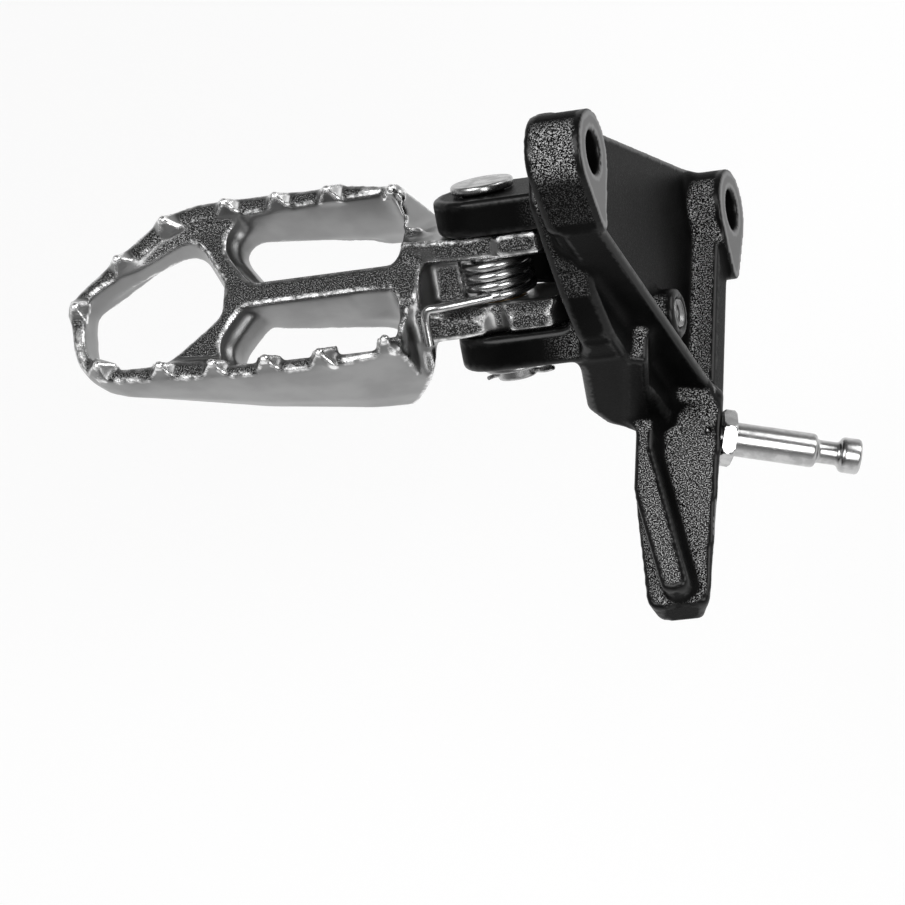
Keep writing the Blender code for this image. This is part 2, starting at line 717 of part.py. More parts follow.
def tread_openings(parent):
    """The toe loop, the two slots beside the spine, and the recess down to the deck."""
    inner = inset(tread_outline(ARM_RADIUS), RIM_WIDTH)
    side = TREAD_HALF_WIDTH - RIM_WIDTH
    tip = -TREAD_REACH
    bar = ROOT_X - 1.7 * MM - BAR_WIDTH
    loop = LOOP_ROOT_X
    fork = loop + 8.5 * MM
    outlines = {
        "toe_loop": [
            (loop, SPINE_FRONT_Y - 6 * MM, 8 * MM),
            (loop - 12 * MM, side - 3 * MM, 5 * MM),
            (tip + 5 * MM, 2 * MM, 5 * MM),
            (tip + 7.4 * MM, -side + 3 * MM, 9 * MM),
            (loop - 18 * MM, -side + 2.4 * MM, 3 * MM),
        ],
        "front_slot": [
            (bar, side - 0.6 * MM, 4 * MM),
            (fork - 13 * MM, side - 0.6 * MM, 4.5 * MM),
            (fork, SPINE_FRONT_Y, 6 * MM),
            (bar, SPINE_FRONT_Y, 4.5 * MM),
        ],
        "rear_slot": [
            (bar, SPINE_REAR_Y - 1.6 * MM, 5 * MM),
            (fork, SPINE_REAR_Y + 1.4 * MM, 7 * MM),
            (fork - 12 * MM, -side + 0.6 * MM, 5 * MM),
            (bar, -side + 0.4 * MM, 3 * MM),
        ],
    }
    low = ROOT_BOTTOM - 2 * ROOT_TWIST
    cuts = []
    for name, corners in outlines.items():
        cuts.append(extruded(name, rounded(corners), low, TOOTH_TOP, LEVEL, parent))
    cuts.append(extruded("deck_recess", inner, DECK, TOOTH_TOP, LEVEL, parent))
    return cuts


def under_hollow(parent):
    """The underside scooped out between the side walls, so that the spine and branches are shallower."""
    outline = inset(tread_outline(ROOT_X - 2 * BAR_WIDTH), RIM_WIDTH - 0.6 * MM)
    scoop = [(u, v, underside(u, v) + rise) for u, v in outline for rise in (-HOLLOW, HOLLOW)]
    return hull("under_hollow", scoop, parent)


def root_slopes(parent):
    """The sloped inboard ends of the two side walls, and the chamfer under the root."""
    far = 2 * TREAD_HALF_WIDTH
    past = ARM_RADIUS
    high = TOOTH_TOP + 5 * MM
    front = [(high, ROOT_X - 8.2 * MM), (high, past), (-8 * MM, past), (-8 * MM, ROOT_X + 0.6 * MM)]
    rear = [(high, ROOT_X - 8 * MM), (high, past), (-3 * MM, past), (-3 * MM, ROOT_X + 2.6 * MM)]
    low = ROOT_BOTTOM - ROOT_TWIST
    under = [(low - past, ROOT_X - 12 * MM), (low + MM, ROOT_X - 12 * MM), (0, ROOT_X + 4.4 * MM)]
    under += [(0, past), (low - past, past)]
    return [
        extruded("front_slope", front, TREAD_HALF_WIDTH / 2, far, LENGTHWAYS, parent),
        extruded("rear_slope", rear, -far, -TREAD_HALF_WIDTH / 2, LENGTHWAYS, parent),
        extruded("root_chamfer", under, -far, far, LENGTHWAYS, parent),
    ]


def root_pocket(hinge):
    """The step down from the cross bar to the top of the rear ear."""
    high = 3 * ARM_RADIUS
    outline = [
        Vector((high, ROOT_X - 1.7 * MM)),
        Vector((ROOT_TOP - OVERLAP, ROOT_X - 1.7 * MM)),
        Vector((EAR_TOP - OVERLAP, -ARM_RADIUS)),
        Vector((EAR_TOP - OVERLAP, 0)),
        Vector((high, 0)),
    ]
    return extruded("root_pocket", outline, -high, FRONT_EAR_INNER, LENGTHWAYS, hinge)


def tread_cuts(hinge):
    """Room for the spring between the ears, and the bores for the bushes."""
    depth = 2 * ARM_RADIUS
    coil = SPRING_MEAN_RADIUS + SPRING_WIRE / 2 + 2 * TOUCH_GAP
    room = [Vector((depth, ROOT_X + MM)), Vector((0, ROOT_X + MM)), Vector((-MM, -coil))]
    room += [Vector((-depth, -coil)), Vector((-depth, depth)), Vector((depth, depth))]
    near = -REAR_EAR_INNER + OVERLAP
    far = -REAR_EAR_INNER - 3.4 * MM
    edge = [Vector((near, EAR_TOP - 4 * MM)), Vector((far, EAR_TOP + 0.4 * MM))]
    edge += [Vector((far, depth)), Vector((near, depth))]
    return [
        extruded("spring_room", room, -REAR_EAR_INNER, FRONT_EAR_INNER, LENGTHWAYS, hinge),
        extruded("ear_edge", edge, -ARM_RADIUS, depth, CROSSWAYS, hinge),
        drum(
            "bush_bore",
            BUSH_DIAMETER / 2 + RUNNING_GAP,
            -CLEVIS_GAP,
            CLEVIS_GAP,
            LENGTHWAYS,
            (0, 0),
            hinge,
        ),
    ]


def make_tread(pivot, hinge):
    casting = tread_body(pivot)
    casting.name = "peg_casting"
    ears = tread_ears(hinge)
    cuts = root_slopes(pivot) + [under_hollow(pivot)] + tread_openings(pivot) + [root_pocket(hinge)]
    combine(casting, cuts, "DIFFERENCE")
    combine(casting, tread_teeth(pivot) + ears, "UNION")
    combine(casting, tread_cuts(hinge), "DIFFERENCE")
    part(casting, material("cast_silver", (0.42, 0.42, 0.43), 0.38, 1.0))


# Hinge hardware


def tube(name, inner, outer, low, high, parent):
    """A sleeve along the hinge axis."""
    profile = [(inner, high), (outer, high), (outer, low), (inner, low), (inner, high)]
    return turned(name, profile, parent, Matrix.Rotation(-math.pi / 2, 4, "X"))


def make_pin(hinge):
    radius = PIN_DIAMETER / 2
    head = PIN_HEAD_DIAMETER / 2
    chamfer = 0.8 * MM
    seat = FRONT_OUTER + TOUCH_GAP
    top = seat + PIN_HEAD_HEIGHT
    end = -(REAR_OUTER + PIN_TAIL)
    profile = [
        (0, top),
        (head - chamfer, top),
        (head, top - chamfer),
        (head, seat),
        (radius, seat),
        (radius, end + chamfer),
        (radius - chamfer, end),
        (0, end),
    ]
    pin = turned("hinge_pin", profile, hinge, Matrix.Rotation(-math.pi / 2, 4, "X"))
    past = radius + OVERLAP
    hole = drum("split_hole", SPLIT_WIRE + RUNNING_GAP, -past, past, CROSSWAYS, (split_level(), 0), hinge)
    combine(pin, [hole], "DIFFERENCE")
    part(pin, material("pin_steel", (0.5, 0.5, 0.5), 0.3, 1.0))


def washer_level():
    """Outer face of the washer along the hinge axis."""
    return -(REAR_OUTER + TOUCH_GAP + WASHER_THICKNESS)


def split_level():
    return washer_level() - SPLIT_WIRE - RUNNING_GAP - TOUCH_GAP


def wire(name, points, thickness, parent):
    curve = bpy.data.curves.new(name, "CURVE")
    curve.dimensions = "3D"
    curve.bevel_depth = thickness / 2
    curve.bevel_resolution = 2
    curve.use_fill_caps = True
    spline = curve.splines.new("POLY")
    spline.points.add(len(points) - 1)
    for point, place in zip(spline.points, points):
        point.co = (*place, 1)
    return from_curve(name, curve, parent)


def make_split_pin(hinge):
    """One wire, folded into an eye and two legs that pass through the pin and bend apart."""
    radius = PIN_DIAMETER / 2
    level = split_level()
    apart = SPLIT_WIRE / 2 + RUNNING_GAP / 2
    eye_x = radius + SPLIT_EYE + SPLIT_WIRE
    bend = -radius - SPLIT_WIRE
    side = [
        Vector((bend - SPLIT_LEG * 0.35, level, apart + SPLIT_LEG)),
        Vector((bend, level, apart + 0.5 * MM)),
        Vector((bend + SPLIT_WIRE, level, apart)),
        Vector((radius + SPLIT_WIRE / 2, level, apart)),
    ]
    eye = []
    steps = CORNER_STEPS * 2
    open_turn = math.asin(min(apart / SPLIT_EYE, 1.0)) + 0.5
    for step in range(steps + 1):
        turn = math.pi - open_turn - (2 * math.pi - 2 * open_turn) * step / steps
        eye.append(Vector((eye_x + SPLIT_EYE * math.cos(turn), level, SPLIT_EYE * math.sin(turn))))
    other = [Vector((point.x, point.y, -point.z)) for point in reversed(side)]
    pin = wire("split_pin", side + eye + other, SPLIT_WIRE, hinge)
    part(pin, material("split_steel", (0.45, 0.45, 0.45), 0.35, 1.0))


def spring_end():
    """The coil's front end along the hinge axis, at the wire's centre."""
    return (FRONT_EAR_INNER - REAR_EAR_INNER + SPRING_TURNS * SPRING_PITCH) / 2


def rear_ear_top(x):
    """Height of the rear ear's top towards the tread."""
    share = (x + ARM_RADIUS) / (ROOT_X - BAR_WIDTH + ARM_RADIUS)
    return EAR_TOP + (ROOT_TOP - EAR_TOP) * share


def make_spring(hinge):
    """The coil, a leg that bends over the tread's rear ear, and a leg into the bracket's wall."""
    steps = round(SPRING_TURNS * TURN_POINTS)
    front = spring_end()
    rear = front - SPRING_TURNS * SPRING_PITCH
    radius = SPRING_MEAN_RADIUS
    coil = []
    for step in range(steps + 1):
        turn = math.pi / 2 - 2 * math.pi * SPRING_TURNS * step / steps
        level = rear + (front - rear) * step / steps
        coil.append(Vector((radius * math.cos(turn), level, radius * math.sin(turn))))
    hook_x = ROOT_X + 2.4 * MM
    over = rear_ear_top(hook_x - SPRING_WIRE / 2) + SPRING_WIRE / 2 + TOUCH_GAP
    tail = [
        Vector((hook_x, -EAR_OUTER, over)),
        Vector((hook_x, rear - 2 * MM, over)),
        Vector((hook_x + 0.6 * MM, rear - 0.6 * MM, over)),
        Vector((hook_x + 2 * MM, rear, over)),
    ]
    end = coil[-1]
    inner_leg = [
        Vector((end.x + 0.2 * MM, end.y, SPRING_LEG_LEVEL + 2 * MM)),
        Vector((end.x + 1.4 * MM, end.y, SPRING_LEG_LEVEL + 0.4 * MM)),
        Vector((end.x + 3 * MM, end.y, SPRING_LEG_LEVEL)),
        Vector((BACK_WALL + SPRING_HOLE_DEPTH - TOUCH_GAP, end.y, SPRING_LEG_LEVEL)),
    ]
    spring = wire("torsion_spring", tail + coil + inner_leg, SPRING_WIRE, hinge)
    part(spring, material("spring_steel", (0.5, 0.5, 0.5), 0.28, 1.0))


def make_sleeves(hinge):
    bore = PIN_DIAMETER / 2 + RUNNING_GAP
    bronze = material("bush_bronze", (0.45, 0.3, 0.14), 0.4, 1.0)
    steel = material("washer_steel", (0.5, 0.5, 0.5), 0.3, 1.0)
    front = tube("ear_bush_front", bore, BUSH_DIAMETER / 2, FRONT_EAR_INNER + RUNNING_GAP, EAR_OUTER, hinge)
    rear = tube("ear_bush_rear", bore, BUSH_DIAMETER / 2, -EAR_OUTER, -REAR_EAR_INNER - RUNNING_GAP, hinge)
    ends = (-REAR_EAR_INNER + TOUCH_GAP, FRONT_EAR_INNER - TOUCH_GAP)
    sleeve = tube("spring_sleeve", bore, SLEEVE_DIAMETER / 2, *ends, hinge)
    washer = tube("pin_washer", bore, WASHER_DIAMETER / 2, washer_level(), -REAR_OUTER - TOUCH_GAP, hinge)
    part(front, bronze)
    part(rear, bronze)
    part(sleeve, steel)
    part(washer, steel)


def make_insert(bracket):
    profile = [(INSERT_BORE / 2, -BOSS_FACE), (INSERT_OUTER / 2, -BOSS_FACE)]
    deep = -WEB_FACE - WEB_THICKNESS
    profile += [(INSERT_OUTER / 2, deep), (INSERT_BORE / 2, deep), (INSERT_BORE / 2, -BOSS_FACE)]
    place = CROSSWAYS @ Matrix.Translation((BOSS_Y, BOSS_Z, 0))
    insert = turned("boss_insert", profile, bracket, place)
    part(insert, material("insert_steel", (0.4, 0.4, 0.4), 0.4, 1.0))


def make_post(bracket):
    """The turned post, from its grooved end down to its thread, with a hexagon at the seat."""
    chamfer = 0.9 * MM
    hex_top = TOUCH_GAP + POST_HEX_HEIGHT
    shank_top = hex_top + POST_SHANK_LENGTH
    neck_top = shank_top + POST_NECK_LENGTH
    end = neck_top + POST_END_LENGTH
    profile = [
        (0, end),
        (POST_END / 2 - chamfer, end),
        (POST_END / 2, end - chamfer),
        (POST_END / 2, neck_top + chamfer),
        (POST_NECK / 2, neck_top),
        (POST_NECK / 2, shank_top),
        (POST_SHANK / 2, shank_top - chamfer),
        (POST_SHANK / 2, TOUCH_GAP + OVERLAP),
        (POST_THREAD / 2, TOUCH_GAP + OVERLAP),
        (POST_THREAD / 2, -POST_THREAD_LENGTH),
        (0, -POST_THREAD_LENGTH),
    ]
    post = turned("spring_post", profile, bracket, post_place())
    corner = POST_HEX / 2 / math.cos(math.pi / 6)
    hexagon = drum("post_hexagon", corner, TOUCH_GAP, hex_top, post_place(), (0, 0), bracket, sides=6)
    combine(post, [hexagon], "UNION")
    part(post, material("bright_zinc", (0.55, 0.55, 0.55), 0.2, 1.0))


def main():
    bracket = datum("bracket_datum", None, UPPER_BORE)
    hinge = datum("hinge_axis", bracket, PIN_CENTRE, PIN_TILT)
    pivot = datum("peg_pivot", bracket, PIN_CENTRE)
    make_bracket(bracket, hinge)
    make_tread(pivot, hinge)
    make_pin(hinge)
    make_split_pin(hinge)
    make_spring(hinge)
    make_sleeves(hinge)
    make_insert(bracket)
    make_post(bracket)


clear_scene()
PARTS = collection("foot_peg")
HELPERS = collection("cutters")
main()
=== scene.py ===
"""Looks of the folding foot peg: its two castings with fillets, draft and grain, its hinge hardware, and a
plain studio. Metres, in the frame's axes: +X inboard, +Y forward, +Z up."""

import json
import math

import bmesh
import bpy
import numpy as np
import openvdb
from mathutils import Matrix, Vector


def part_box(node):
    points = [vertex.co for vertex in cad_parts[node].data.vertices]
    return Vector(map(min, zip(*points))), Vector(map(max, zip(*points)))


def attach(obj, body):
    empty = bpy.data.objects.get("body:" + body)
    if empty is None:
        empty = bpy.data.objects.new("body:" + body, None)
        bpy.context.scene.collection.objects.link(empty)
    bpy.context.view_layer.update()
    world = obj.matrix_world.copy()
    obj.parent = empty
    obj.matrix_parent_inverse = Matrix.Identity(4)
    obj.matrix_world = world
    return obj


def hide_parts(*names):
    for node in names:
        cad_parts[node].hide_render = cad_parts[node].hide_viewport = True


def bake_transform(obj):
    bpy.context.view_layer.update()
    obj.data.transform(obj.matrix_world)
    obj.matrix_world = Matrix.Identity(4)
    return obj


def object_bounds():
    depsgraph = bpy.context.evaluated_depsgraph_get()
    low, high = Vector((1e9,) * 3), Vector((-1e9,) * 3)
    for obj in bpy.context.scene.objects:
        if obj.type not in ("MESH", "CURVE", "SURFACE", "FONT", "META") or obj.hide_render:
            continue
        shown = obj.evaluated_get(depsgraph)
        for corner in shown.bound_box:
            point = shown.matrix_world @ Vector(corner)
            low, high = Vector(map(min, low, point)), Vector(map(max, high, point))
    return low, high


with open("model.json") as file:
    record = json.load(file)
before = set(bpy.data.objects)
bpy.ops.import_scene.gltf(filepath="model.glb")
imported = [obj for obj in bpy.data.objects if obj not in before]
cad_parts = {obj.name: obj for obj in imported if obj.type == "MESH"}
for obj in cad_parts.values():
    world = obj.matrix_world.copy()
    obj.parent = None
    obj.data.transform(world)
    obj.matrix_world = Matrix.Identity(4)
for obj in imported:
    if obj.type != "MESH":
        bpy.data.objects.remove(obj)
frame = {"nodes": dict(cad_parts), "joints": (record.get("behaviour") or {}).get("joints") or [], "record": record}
CAD_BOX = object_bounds()
NODES = frame["nodes"]
MM = 0.001

# Hinge, from the frame: its own axes run inboard, along the pin and square to both
HINGE = frame["joints"][0]
PIN_CENTRE = Vector(HINGE["pos_m"])
PIN_AXIS = Vector(HINGE["axis"]).normalized()
INBOARD = Vector((1, 0, 0))
HINGE_TURN = Matrix((INBOARD, PIN_AXIS, INBOARD.cross(PIN_AXIS))).transposed().to_4x4()
HINGE_PLACE = Matrix.Translation(PIN_CENTRE) @ HINGE_TURN
OPENINGS = {opening["name"]: opening["box_m"] for opening in frame["record"]["physics"]["openings"]}

# Level sets of the castings, and how far from the surface each step needs them
VOXEL = 0.5 * MM
BAND_SPARE = 3
DRAFT_REACH = 6 * MM
TOOTH_REACH = 2 * MM
BRACKET_REACH = 4 * MM

# Peg casting: each rise is a height above the pin's middle
PEG_FILLET = 1.3 * MM
PEG_EDGE = 0.55 * MM
PEG_BEND_SPREAD = 2
# Upper faces of the peg, which the plated finish paints dark as a painted dark reflection
PEG_TOP_REFLECTION_FACING = (0.0, -0.3, 0.954)
PEG_TOP_REFLECTION_REACH = (0.80, 0.92)
TREAD_ROOT = -61 * MM
VALLEY_RISE = 11.0 * MM
DECK_RISE = 9.0 * MM
SLICE_RISE = 6.0 * MM

# Openings of the tread: round corners, walls that lean from the parting line, ramps at the slots' ends
OPENING_CORNERS = {"toe_loop": 5.5 * MM, "front_slot": 3.6 * MM, "rear_slot": 3.6 * MM}
IN_OPENING = 1
OUTSIDE = 2
CLAIM_REACH = 6 * MM
CORNER_MARGIN = 9 * MM
CORNER_STEP = 1.5 * VOXEL
FAR_INSIDE = -1.0
PARTING_TIP = 5.5 * MM
PARTING_ROOT = -5.8 * MM
WALL_DRAFT = 0.16
BRANCH_RAISE = 6.5 * MM
BRANCH_MARGIN = 6 * MM
RAMP_SLOPE = 0.95
RAMP_FOOT = 4.8 * MM
RAMP_FACING = (0.2, 0.9)
RAMP_MARGIN = 12 * MM

# Teeth of the tread
TOOTH_RISE = 15.0 * MM
TOOTH_BASE = 7.0 * MM
TOOTH_POINT = 1.3 * MM
TIP_BAND = 1.6 * MM
RIM_CLEAR = 0.1 * MM
RIM_BAND = 0.05 * MM
FOOT_SEARCH = 0.6
FOOT_SPREAD = 1.16
FOOT_SINK = 1.5 * MM

# Bracket casting
BRACKET_FILLET = 1.8 * MM
BRACKET_EDGE = 1.0 * MM
BRACKET_BEND_SPREAD = 5
# Faces whose grey specks are a painted highlight of the key light
BRACKET_HIGHLIGHT_FACING = (0.05, -0.35, 0.935)
BRACKET_HIGHLIGHT_REACH = (0.66, 0.90)
# Where the bracket's painted highlight specks fade out towards the clevis arms
ARM_HIGHLIGHT_FADE = (-32 * MM, -12 * MM)
BOLT_BORES = ("upper_bolt_bore", "lower_bolt_bore")
BOLT_BORE = 10.5 * MM
BORE_CHAMFER = 0.6 * MM
PAD_BAND = 0.01 * MM
PAD_SPLIT = -30 * MM
PAD_ROOT = -3 * MM
PAD_STAND = 5.0 * MM
PAD_REACH = 26 * MM
FACED_BAND = 0.15 * MM
FACED_LOOK = 0.9

# Shoulder between the clevis arms: its ends along the pin, and its section inboard and up from the pin
TONGUE_ALONG = (-4.9 * MM, 5.9 * MM)
TONGUE_SECTION = (
    (4 * MM, -15 * MM),
    (4 * MM, -10.6 * MM),
    (11.5 * MM, -6.3 * MM),
    (30 * MM, -6.3 * MM),
    (30 * MM, -15 * MM),
)

# Turned pieces
TURNED_SIDES = 96
TURNED_SHARP = math.radians(32)
EDGE_ROUND = 0.45 * MM
CORNER_SHARE = 0.45
CORNER_STEPS = 5
CENTRE_SHARE = 0.3

# Hinge hardware: radii, and levels along the pin from its middle
PIN_RADIUS = 5.0 * MM
PIN_HEAD_RADIUS = 8.0 * MM
PIN_HEAD_LEVEL = 22.45 * MM
PIN_TOP = 24.75 * MM
PIN_END = -26.15 * MM
WASHER_BORE = 5.15 * MM
WASHER_RADIUS = 7.8 * MM
WASHER_TOP = -22.05 * MM
WASHER_END = -23.45 * MM
WASHER_SEAM = 0.1 * MM

# Torsion spring, in the hinge's axes
WIRE_RADIUS = 1.2 * MM
WIRE_SIDES = 18
WIRE_SHARP = math.radians(50)
COIL_RADIUS = 8.1 * MM
COIL_TURNS = 3.25
COIL_REAR = -3.41 * MM
COIL_FRONT = 4.91 * MM
COIL_STEPS = 180
HOOK_SIDE = -16.6 * MM
HOOK_BEND = 0.75
HOOK_RISE = 14.03 * MM
HOOK_END = -12.55 * MM
LEG_DROP = -4.5 * MM
LEG_BEND = 0.7
LEG_START = 0.1 * MM
LEG_TURN = 0.4 * MM
LEG_END = 23.9 * MM
BEND_CUT = 0.25
BEND_ROUNDS = 3

# Spring post: heights above its seat on the leg
POST_LENGTH = 36.7 * MM
POST_TIP_RADIUS = 0.5 * MM
POST_THREAD_RADIUS = 3.0 * MM
POST_THREAD_END = -3.8 * MM
HEX_FLATS = 12.6 * MM
HEX_BASE = 0.3 * MM
HEX_TOP = 3.7 * MM
HEX_CHAMFER = 0.55 * MM
HEX_LEVELS = (0, 0.08, 0.16, 0.5, 0.84, 0.92, 1)
SHANK_RADIUS = 4.35 * MM
SHANK_TOP = 24.9 * MM
NECK_RADIUS = 2.95 * MM
NECK_TOP = 31.3 * MM
NECK_TAPER = 0.5 * MM
NECK_UNDERCUT = 0.3 * MM
POST_END_RADIUS = 4.55 * MM

# Insert in the small boss
INSERT_BORE = 2.5 * MM
INSERT_RADIUS = 3.6 * MM
THREAD_PITCH = 1.0 * MM
THREAD_DEPTH = 0.45 * MM

# Grain, shared by the finishes: noise per metre, and the part of the noise that shows
GRAIN_FINENESS = 3000.0
# Speck noise that marks where painted sparkle and painted highlight specks go
GLINT_SHIFT = (0.31, 0.17, 0.23)
GLINT_RANGE = (0.46, 0.70)
PATCH_RANGE = (0.35, 0.65)
BREAKUP_RANGE = (0.3, 0.7)
BREAKUP_GAIN = (0.7, 1.3)
RING_SQUEEZE = (0.03, 0.03, 1.0)
SMUDGE_FINENESS = 350.0

# Plated casting: greys, roughness from walls to tops, and depth of the bumps
WALL_GREY = (0.25, 0.31)
# Upper faces painted dark with light flecks: a painted dark reflection with painted sparkle
TOP_REFLECTION_GREY = (0.022, 0.30)
# Outer edges painted near white: a painted highlight
EDGE_HIGHLIGHT_GREY = 0.9
# Hollow corners painted darker: painted shade
CORNER_SHADE_GREY = 0.2
CORNER_SHADE_SHARE = 0.25
SILVER_PATCH = 70.0
# Bend at which the painted edge highlight and corner shade begin and are full
SILVER_HIGHLIGHT_BEND = {"Start": 0.025, "Full": 0.075}
SILVER_ROUGHNESS = (0.34, 0.46)
EDGE_SHINE = 0.16
WALL_BUMP = 0.12
SILVER_DEPTH = 0.22 * MM

# Black coat: greys, roughness from plain coat to flecks, and depth of the bumps
COAT_GREY = (0.002, 0.004)
# Grey specks on upper faces: a painted highlight
SPECK_HIGHLIGHT_GREY = 0.5
# Bolt pads painted lighter grey: a painted reflection of the white surround
PAD_REFLECTION_GREY = 0.16
COAT_PATCH = 60.0
COAT_POLISH = {"Start": 0.008, "Full": 0.035}
COAT_ROUGHNESS = (0.42, 0.34)
PAD_ROUGHNESS = 0.15
COAT_SPECULAR = 0.025
GLOSS_ROUGHNESS = 0.3
GLOSS_WEIGHT = 0.45
GRIT_PLAIN = 0.2
GRIT_UPPER = 0.8
COAT_DEPTH = 0.3 * MM

# Turned and drawn metal
SMUDGE_ROUGHER = 1.35
TURNING_DEPTH = 0.012 * MM
METAL_PATCH = 250.0
PATCH_ROUGHER = 1.3
METAL_DEPTH = 0.02 * MM
WIRE_DARK = (0.4, 0.4, 0.4, 1)
WIRE_BRIGHT = (0.56, 0.56, 0.56, 1)
WIRE_ROUGHNESS = 0.2
BRONZE_DARK = (0.3, 0.19, 0.08, 1)
BRONZE_BRIGHT = (0.46, 0.3, 0.13, 1)
BRONZE_ROUGHNESS = 0.42

# Floor
FLOOR_DROP = 0.22
FLOOR_HALF = 4.0
FLOOR_WHITE = (0.95, 0.95, 0.95, 1)
FLOOR_ROUGHNESS = 0.9
FLOOR_GLOW = 0.7

# Light
WHITE = (1, 1, 1, 1)
LIGHT_DISTANCE = 1.6
KEY_DIRECTION = Vector((-0.33, -0.1, 0.94))
KEY_SIZE = 1.2
KEY_POWER = 19.0
FRONT_DIRECTION = Vector((0.55, -0.455, 0.70))
FRONT_SIZE = 1.1
FRONT_POWER = 14.0
BACK_DIRECTION = Vector((0.78, 0.45, 0.40))
BACK_SIZE = 1.0
BACK_POWER = 9.0
HORIZON_LIGHT = 0.5
OVERHEAD_LIGHT = 0.12
OVERHEAD_FROM = 0.45

# Camera, as the photograph was taken
CAMERA_PLACE = Vector((0.3567, -0.5885, 0.9942))
CAMERA_BACK = Vector((0.329, -0.440, 0.836))
CAMERA_UP = Vector((0.111, 0.897, 0.428))
CAMERA_LENS = 200.0
CAMERA_SENSOR = 36.0


# Fields and surfaces


def node_surface(name):
    """A solid's points and triangles."""
    mesh = NODES[name].data
    mesh.calc_loop_triangles()
    points = np.empty(len(mesh.vertices) * 3, np.float32)
    mesh.vertices.foreach_get("co", points)
    triangles = np.empty(len(mesh.loop_triangles) * 3, np.int32)
    mesh.loop_triangles.foreach_get("vertices", triangles)
    return points.reshape(-1, 3), triangles.reshape(-1, 3).astype(np.uint32)


def level_set(points, faces, reach):
    """Distance to a closed surface, out to a reach on either side of it."""
    kind = "quads" if faces.shape[1] == 4 else "triangles"
    transform = openvdb.createLinearTransform(voxelSize=VOXEL)
    return openvdb.FloatGrid.createLevelSetFromPolygons(
        points, transform=transform, halfWidth=reach / VOXEL + BAND_SPARE, **{kind: faces}
    )


def moved_out(points, faces, by):
    return level_set(points, faces, abs(by)).convertToQuads(isovalue=by)


def filled_corners(points, faces, radius):
    """Round fillets in the hollow corners."""
    return moved_out(*moved_out(points, faces, radius), -radius)


def rounded_edges(points, faces, radius):
    """Round outer edges."""
    return moved_out(*moved_out(points, faces, -radius), radius)


def dense(points, faces, reach):
    """The distances as an array, with the coordinates of its cells along each axis."""
    grid = level_set(points, faces, reach)
    low, high = (np.array(corner) for corner in grid.evalActiveVoxelBoundingBox())
    field = np.empty(high - low + 1, np.float32)
    grid.copyToArray(field, ijk=tuple(int(step) for step in low))
    axes = [np.arange(a, b + 1, dtype=np.float32) * VOXEL for a, b in zip(low, high)]
    return field, np.meshgrid(*axes, indexing="ij", sparse=True), low


def skin(field, low):
    """The surface where an array of distances is 0."""
    grid = openvdb.FloatGrid(float(field.max()))
    grid.transform = openvdb.createLinearTransform(voxelSize=VOXEL)
    grid.copyFromArray(field, ijk=tuple(int(step) for step in low))
    return grid.convertToQuads(isovalue=0)


def joined(parts):
    """Several surfaces as one list of points and one of faces."""
    points = np.concatenate([part[0] for part in parts])
    starts = np.cumsum([0] + [len(part[0]) for part in parts[:-1]])
    faces = np.concatenate([part[1] + np.uint32(start) for part, start in zip(parts, starts)])
    return points, faces


def union_surface(parts):
    """One surface around overlapping closed surfaces."""
    return moved_out(*joined(parts), 0.0)


def hull_surface(points):
    """The convex solid around some points."""
    bm = bmesh.new()
    for point in points:
        bm.verts.new(point)
    made = bmesh.ops.convex_hull(bm, input=bm.verts)
    spare = list(set(made["geom_interior"] + made["geom_unused"]))
    bmesh.ops.delete(bm, geom=spare, context="VERTS")
    bmesh.ops.triangulate(bm, faces=bm.faces)
    bm.verts.index_update()
    corners = np.array([vert.co for vert in bm.verts], np.float32)
    faces = np.array([[vert.index for vert in face.verts] for face in bm.faces], np.uint32)
    bm.free()
    return corners, faces


def quads_to_triangles(faces):
    return np.concatenate([faces[:, [0, 1, 2]], faces[:, [0, 2, 3]]])


def smooth_step(values, low, high):
    share = np.clip((values - low) / (high - low), 0, 1)
    return share * share * (3 - 2 * share)


def opening_centre(name):
    return np.mean(OPENINGS[name], axis=0)


# Objects and meshes


def in_scene(name, data):
    """A new object, linked into the scene."""
    made = bpy.data.objects.new(name, data)
    bpy.context.scene.collection.objects.link(made)
    return made


def mesh_object(name, points, faces):
    mesh = bpy.data.meshes.new(name)
    mesh.from_pydata(points.tolist(), [], faces.tolist())
    bm = bmesh.new()
    bm.from_mesh(mesh)
    bmesh.ops.recalc_face_normals(bm, faces=bm.faces)
    bm.to_mesh(mesh)
    bm.free()
    mesh.shade_smooth()
    return in_scene(name, mesh)


def bridge(bm, low, high):
    """Faces between two rings of points."""
    for side in range(len(low)):
        after = (side + 1) % len(low)
        bm.faces.new((low[side], low[after], high[after], high[side]))


def smooth_mesh(name, bm, sharp_angle):
    """The finished mesh, smooth but for edges sharper than an angle."""
    bmesh.ops.recalc_face_normals(bm, faces=bm.faces)
    mesh = bpy.data.meshes.new(name)
    bm.to_mesh(mesh)
    bm.free()
    mesh.shade_smooth()
    mesh.set_sharp_from_angle(angle=sharp_angle)
    return mesh


# Surface measures that the finishes read


def point_array(mesh, what):
    values = np.empty(len(mesh.vertices) * 3, np.float32)
    source = mesh.vertices if what == "co" else mesh.vertex_normals
    source.foreach_get(what, values)
    return values.reshape(-1, 3)


def neighbour_mean(mesh, values):
    """The mean of a value over each point's neighbours."""
    ends = np.empty(len(mesh.edges) * 2, np.int32)
    mesh.edges.foreach_get("vertices", ends)
    a, b = ends.reshape(-1, 2).T
    count = np.bincount(a, minlength=len(values)) + np.bincount(b, minlength=len(values))
    total = np.zeros(values.shape, np.float64)
    for column in range(values.shape[1]):
        total[:, column] += np.bincount(a, values[b, column], len(values))
        total[:, column] += np.bincount(b, values[a, column], len(values))
    return total / np.maximum(count, 1)[:, None]


def store(mesh, name, values):
    attribute = mesh.attributes.new(name, "FLOAT", "POINT")
    attribute.data.foreach_set("value", np.ascontiguousarray(values, np.float32))


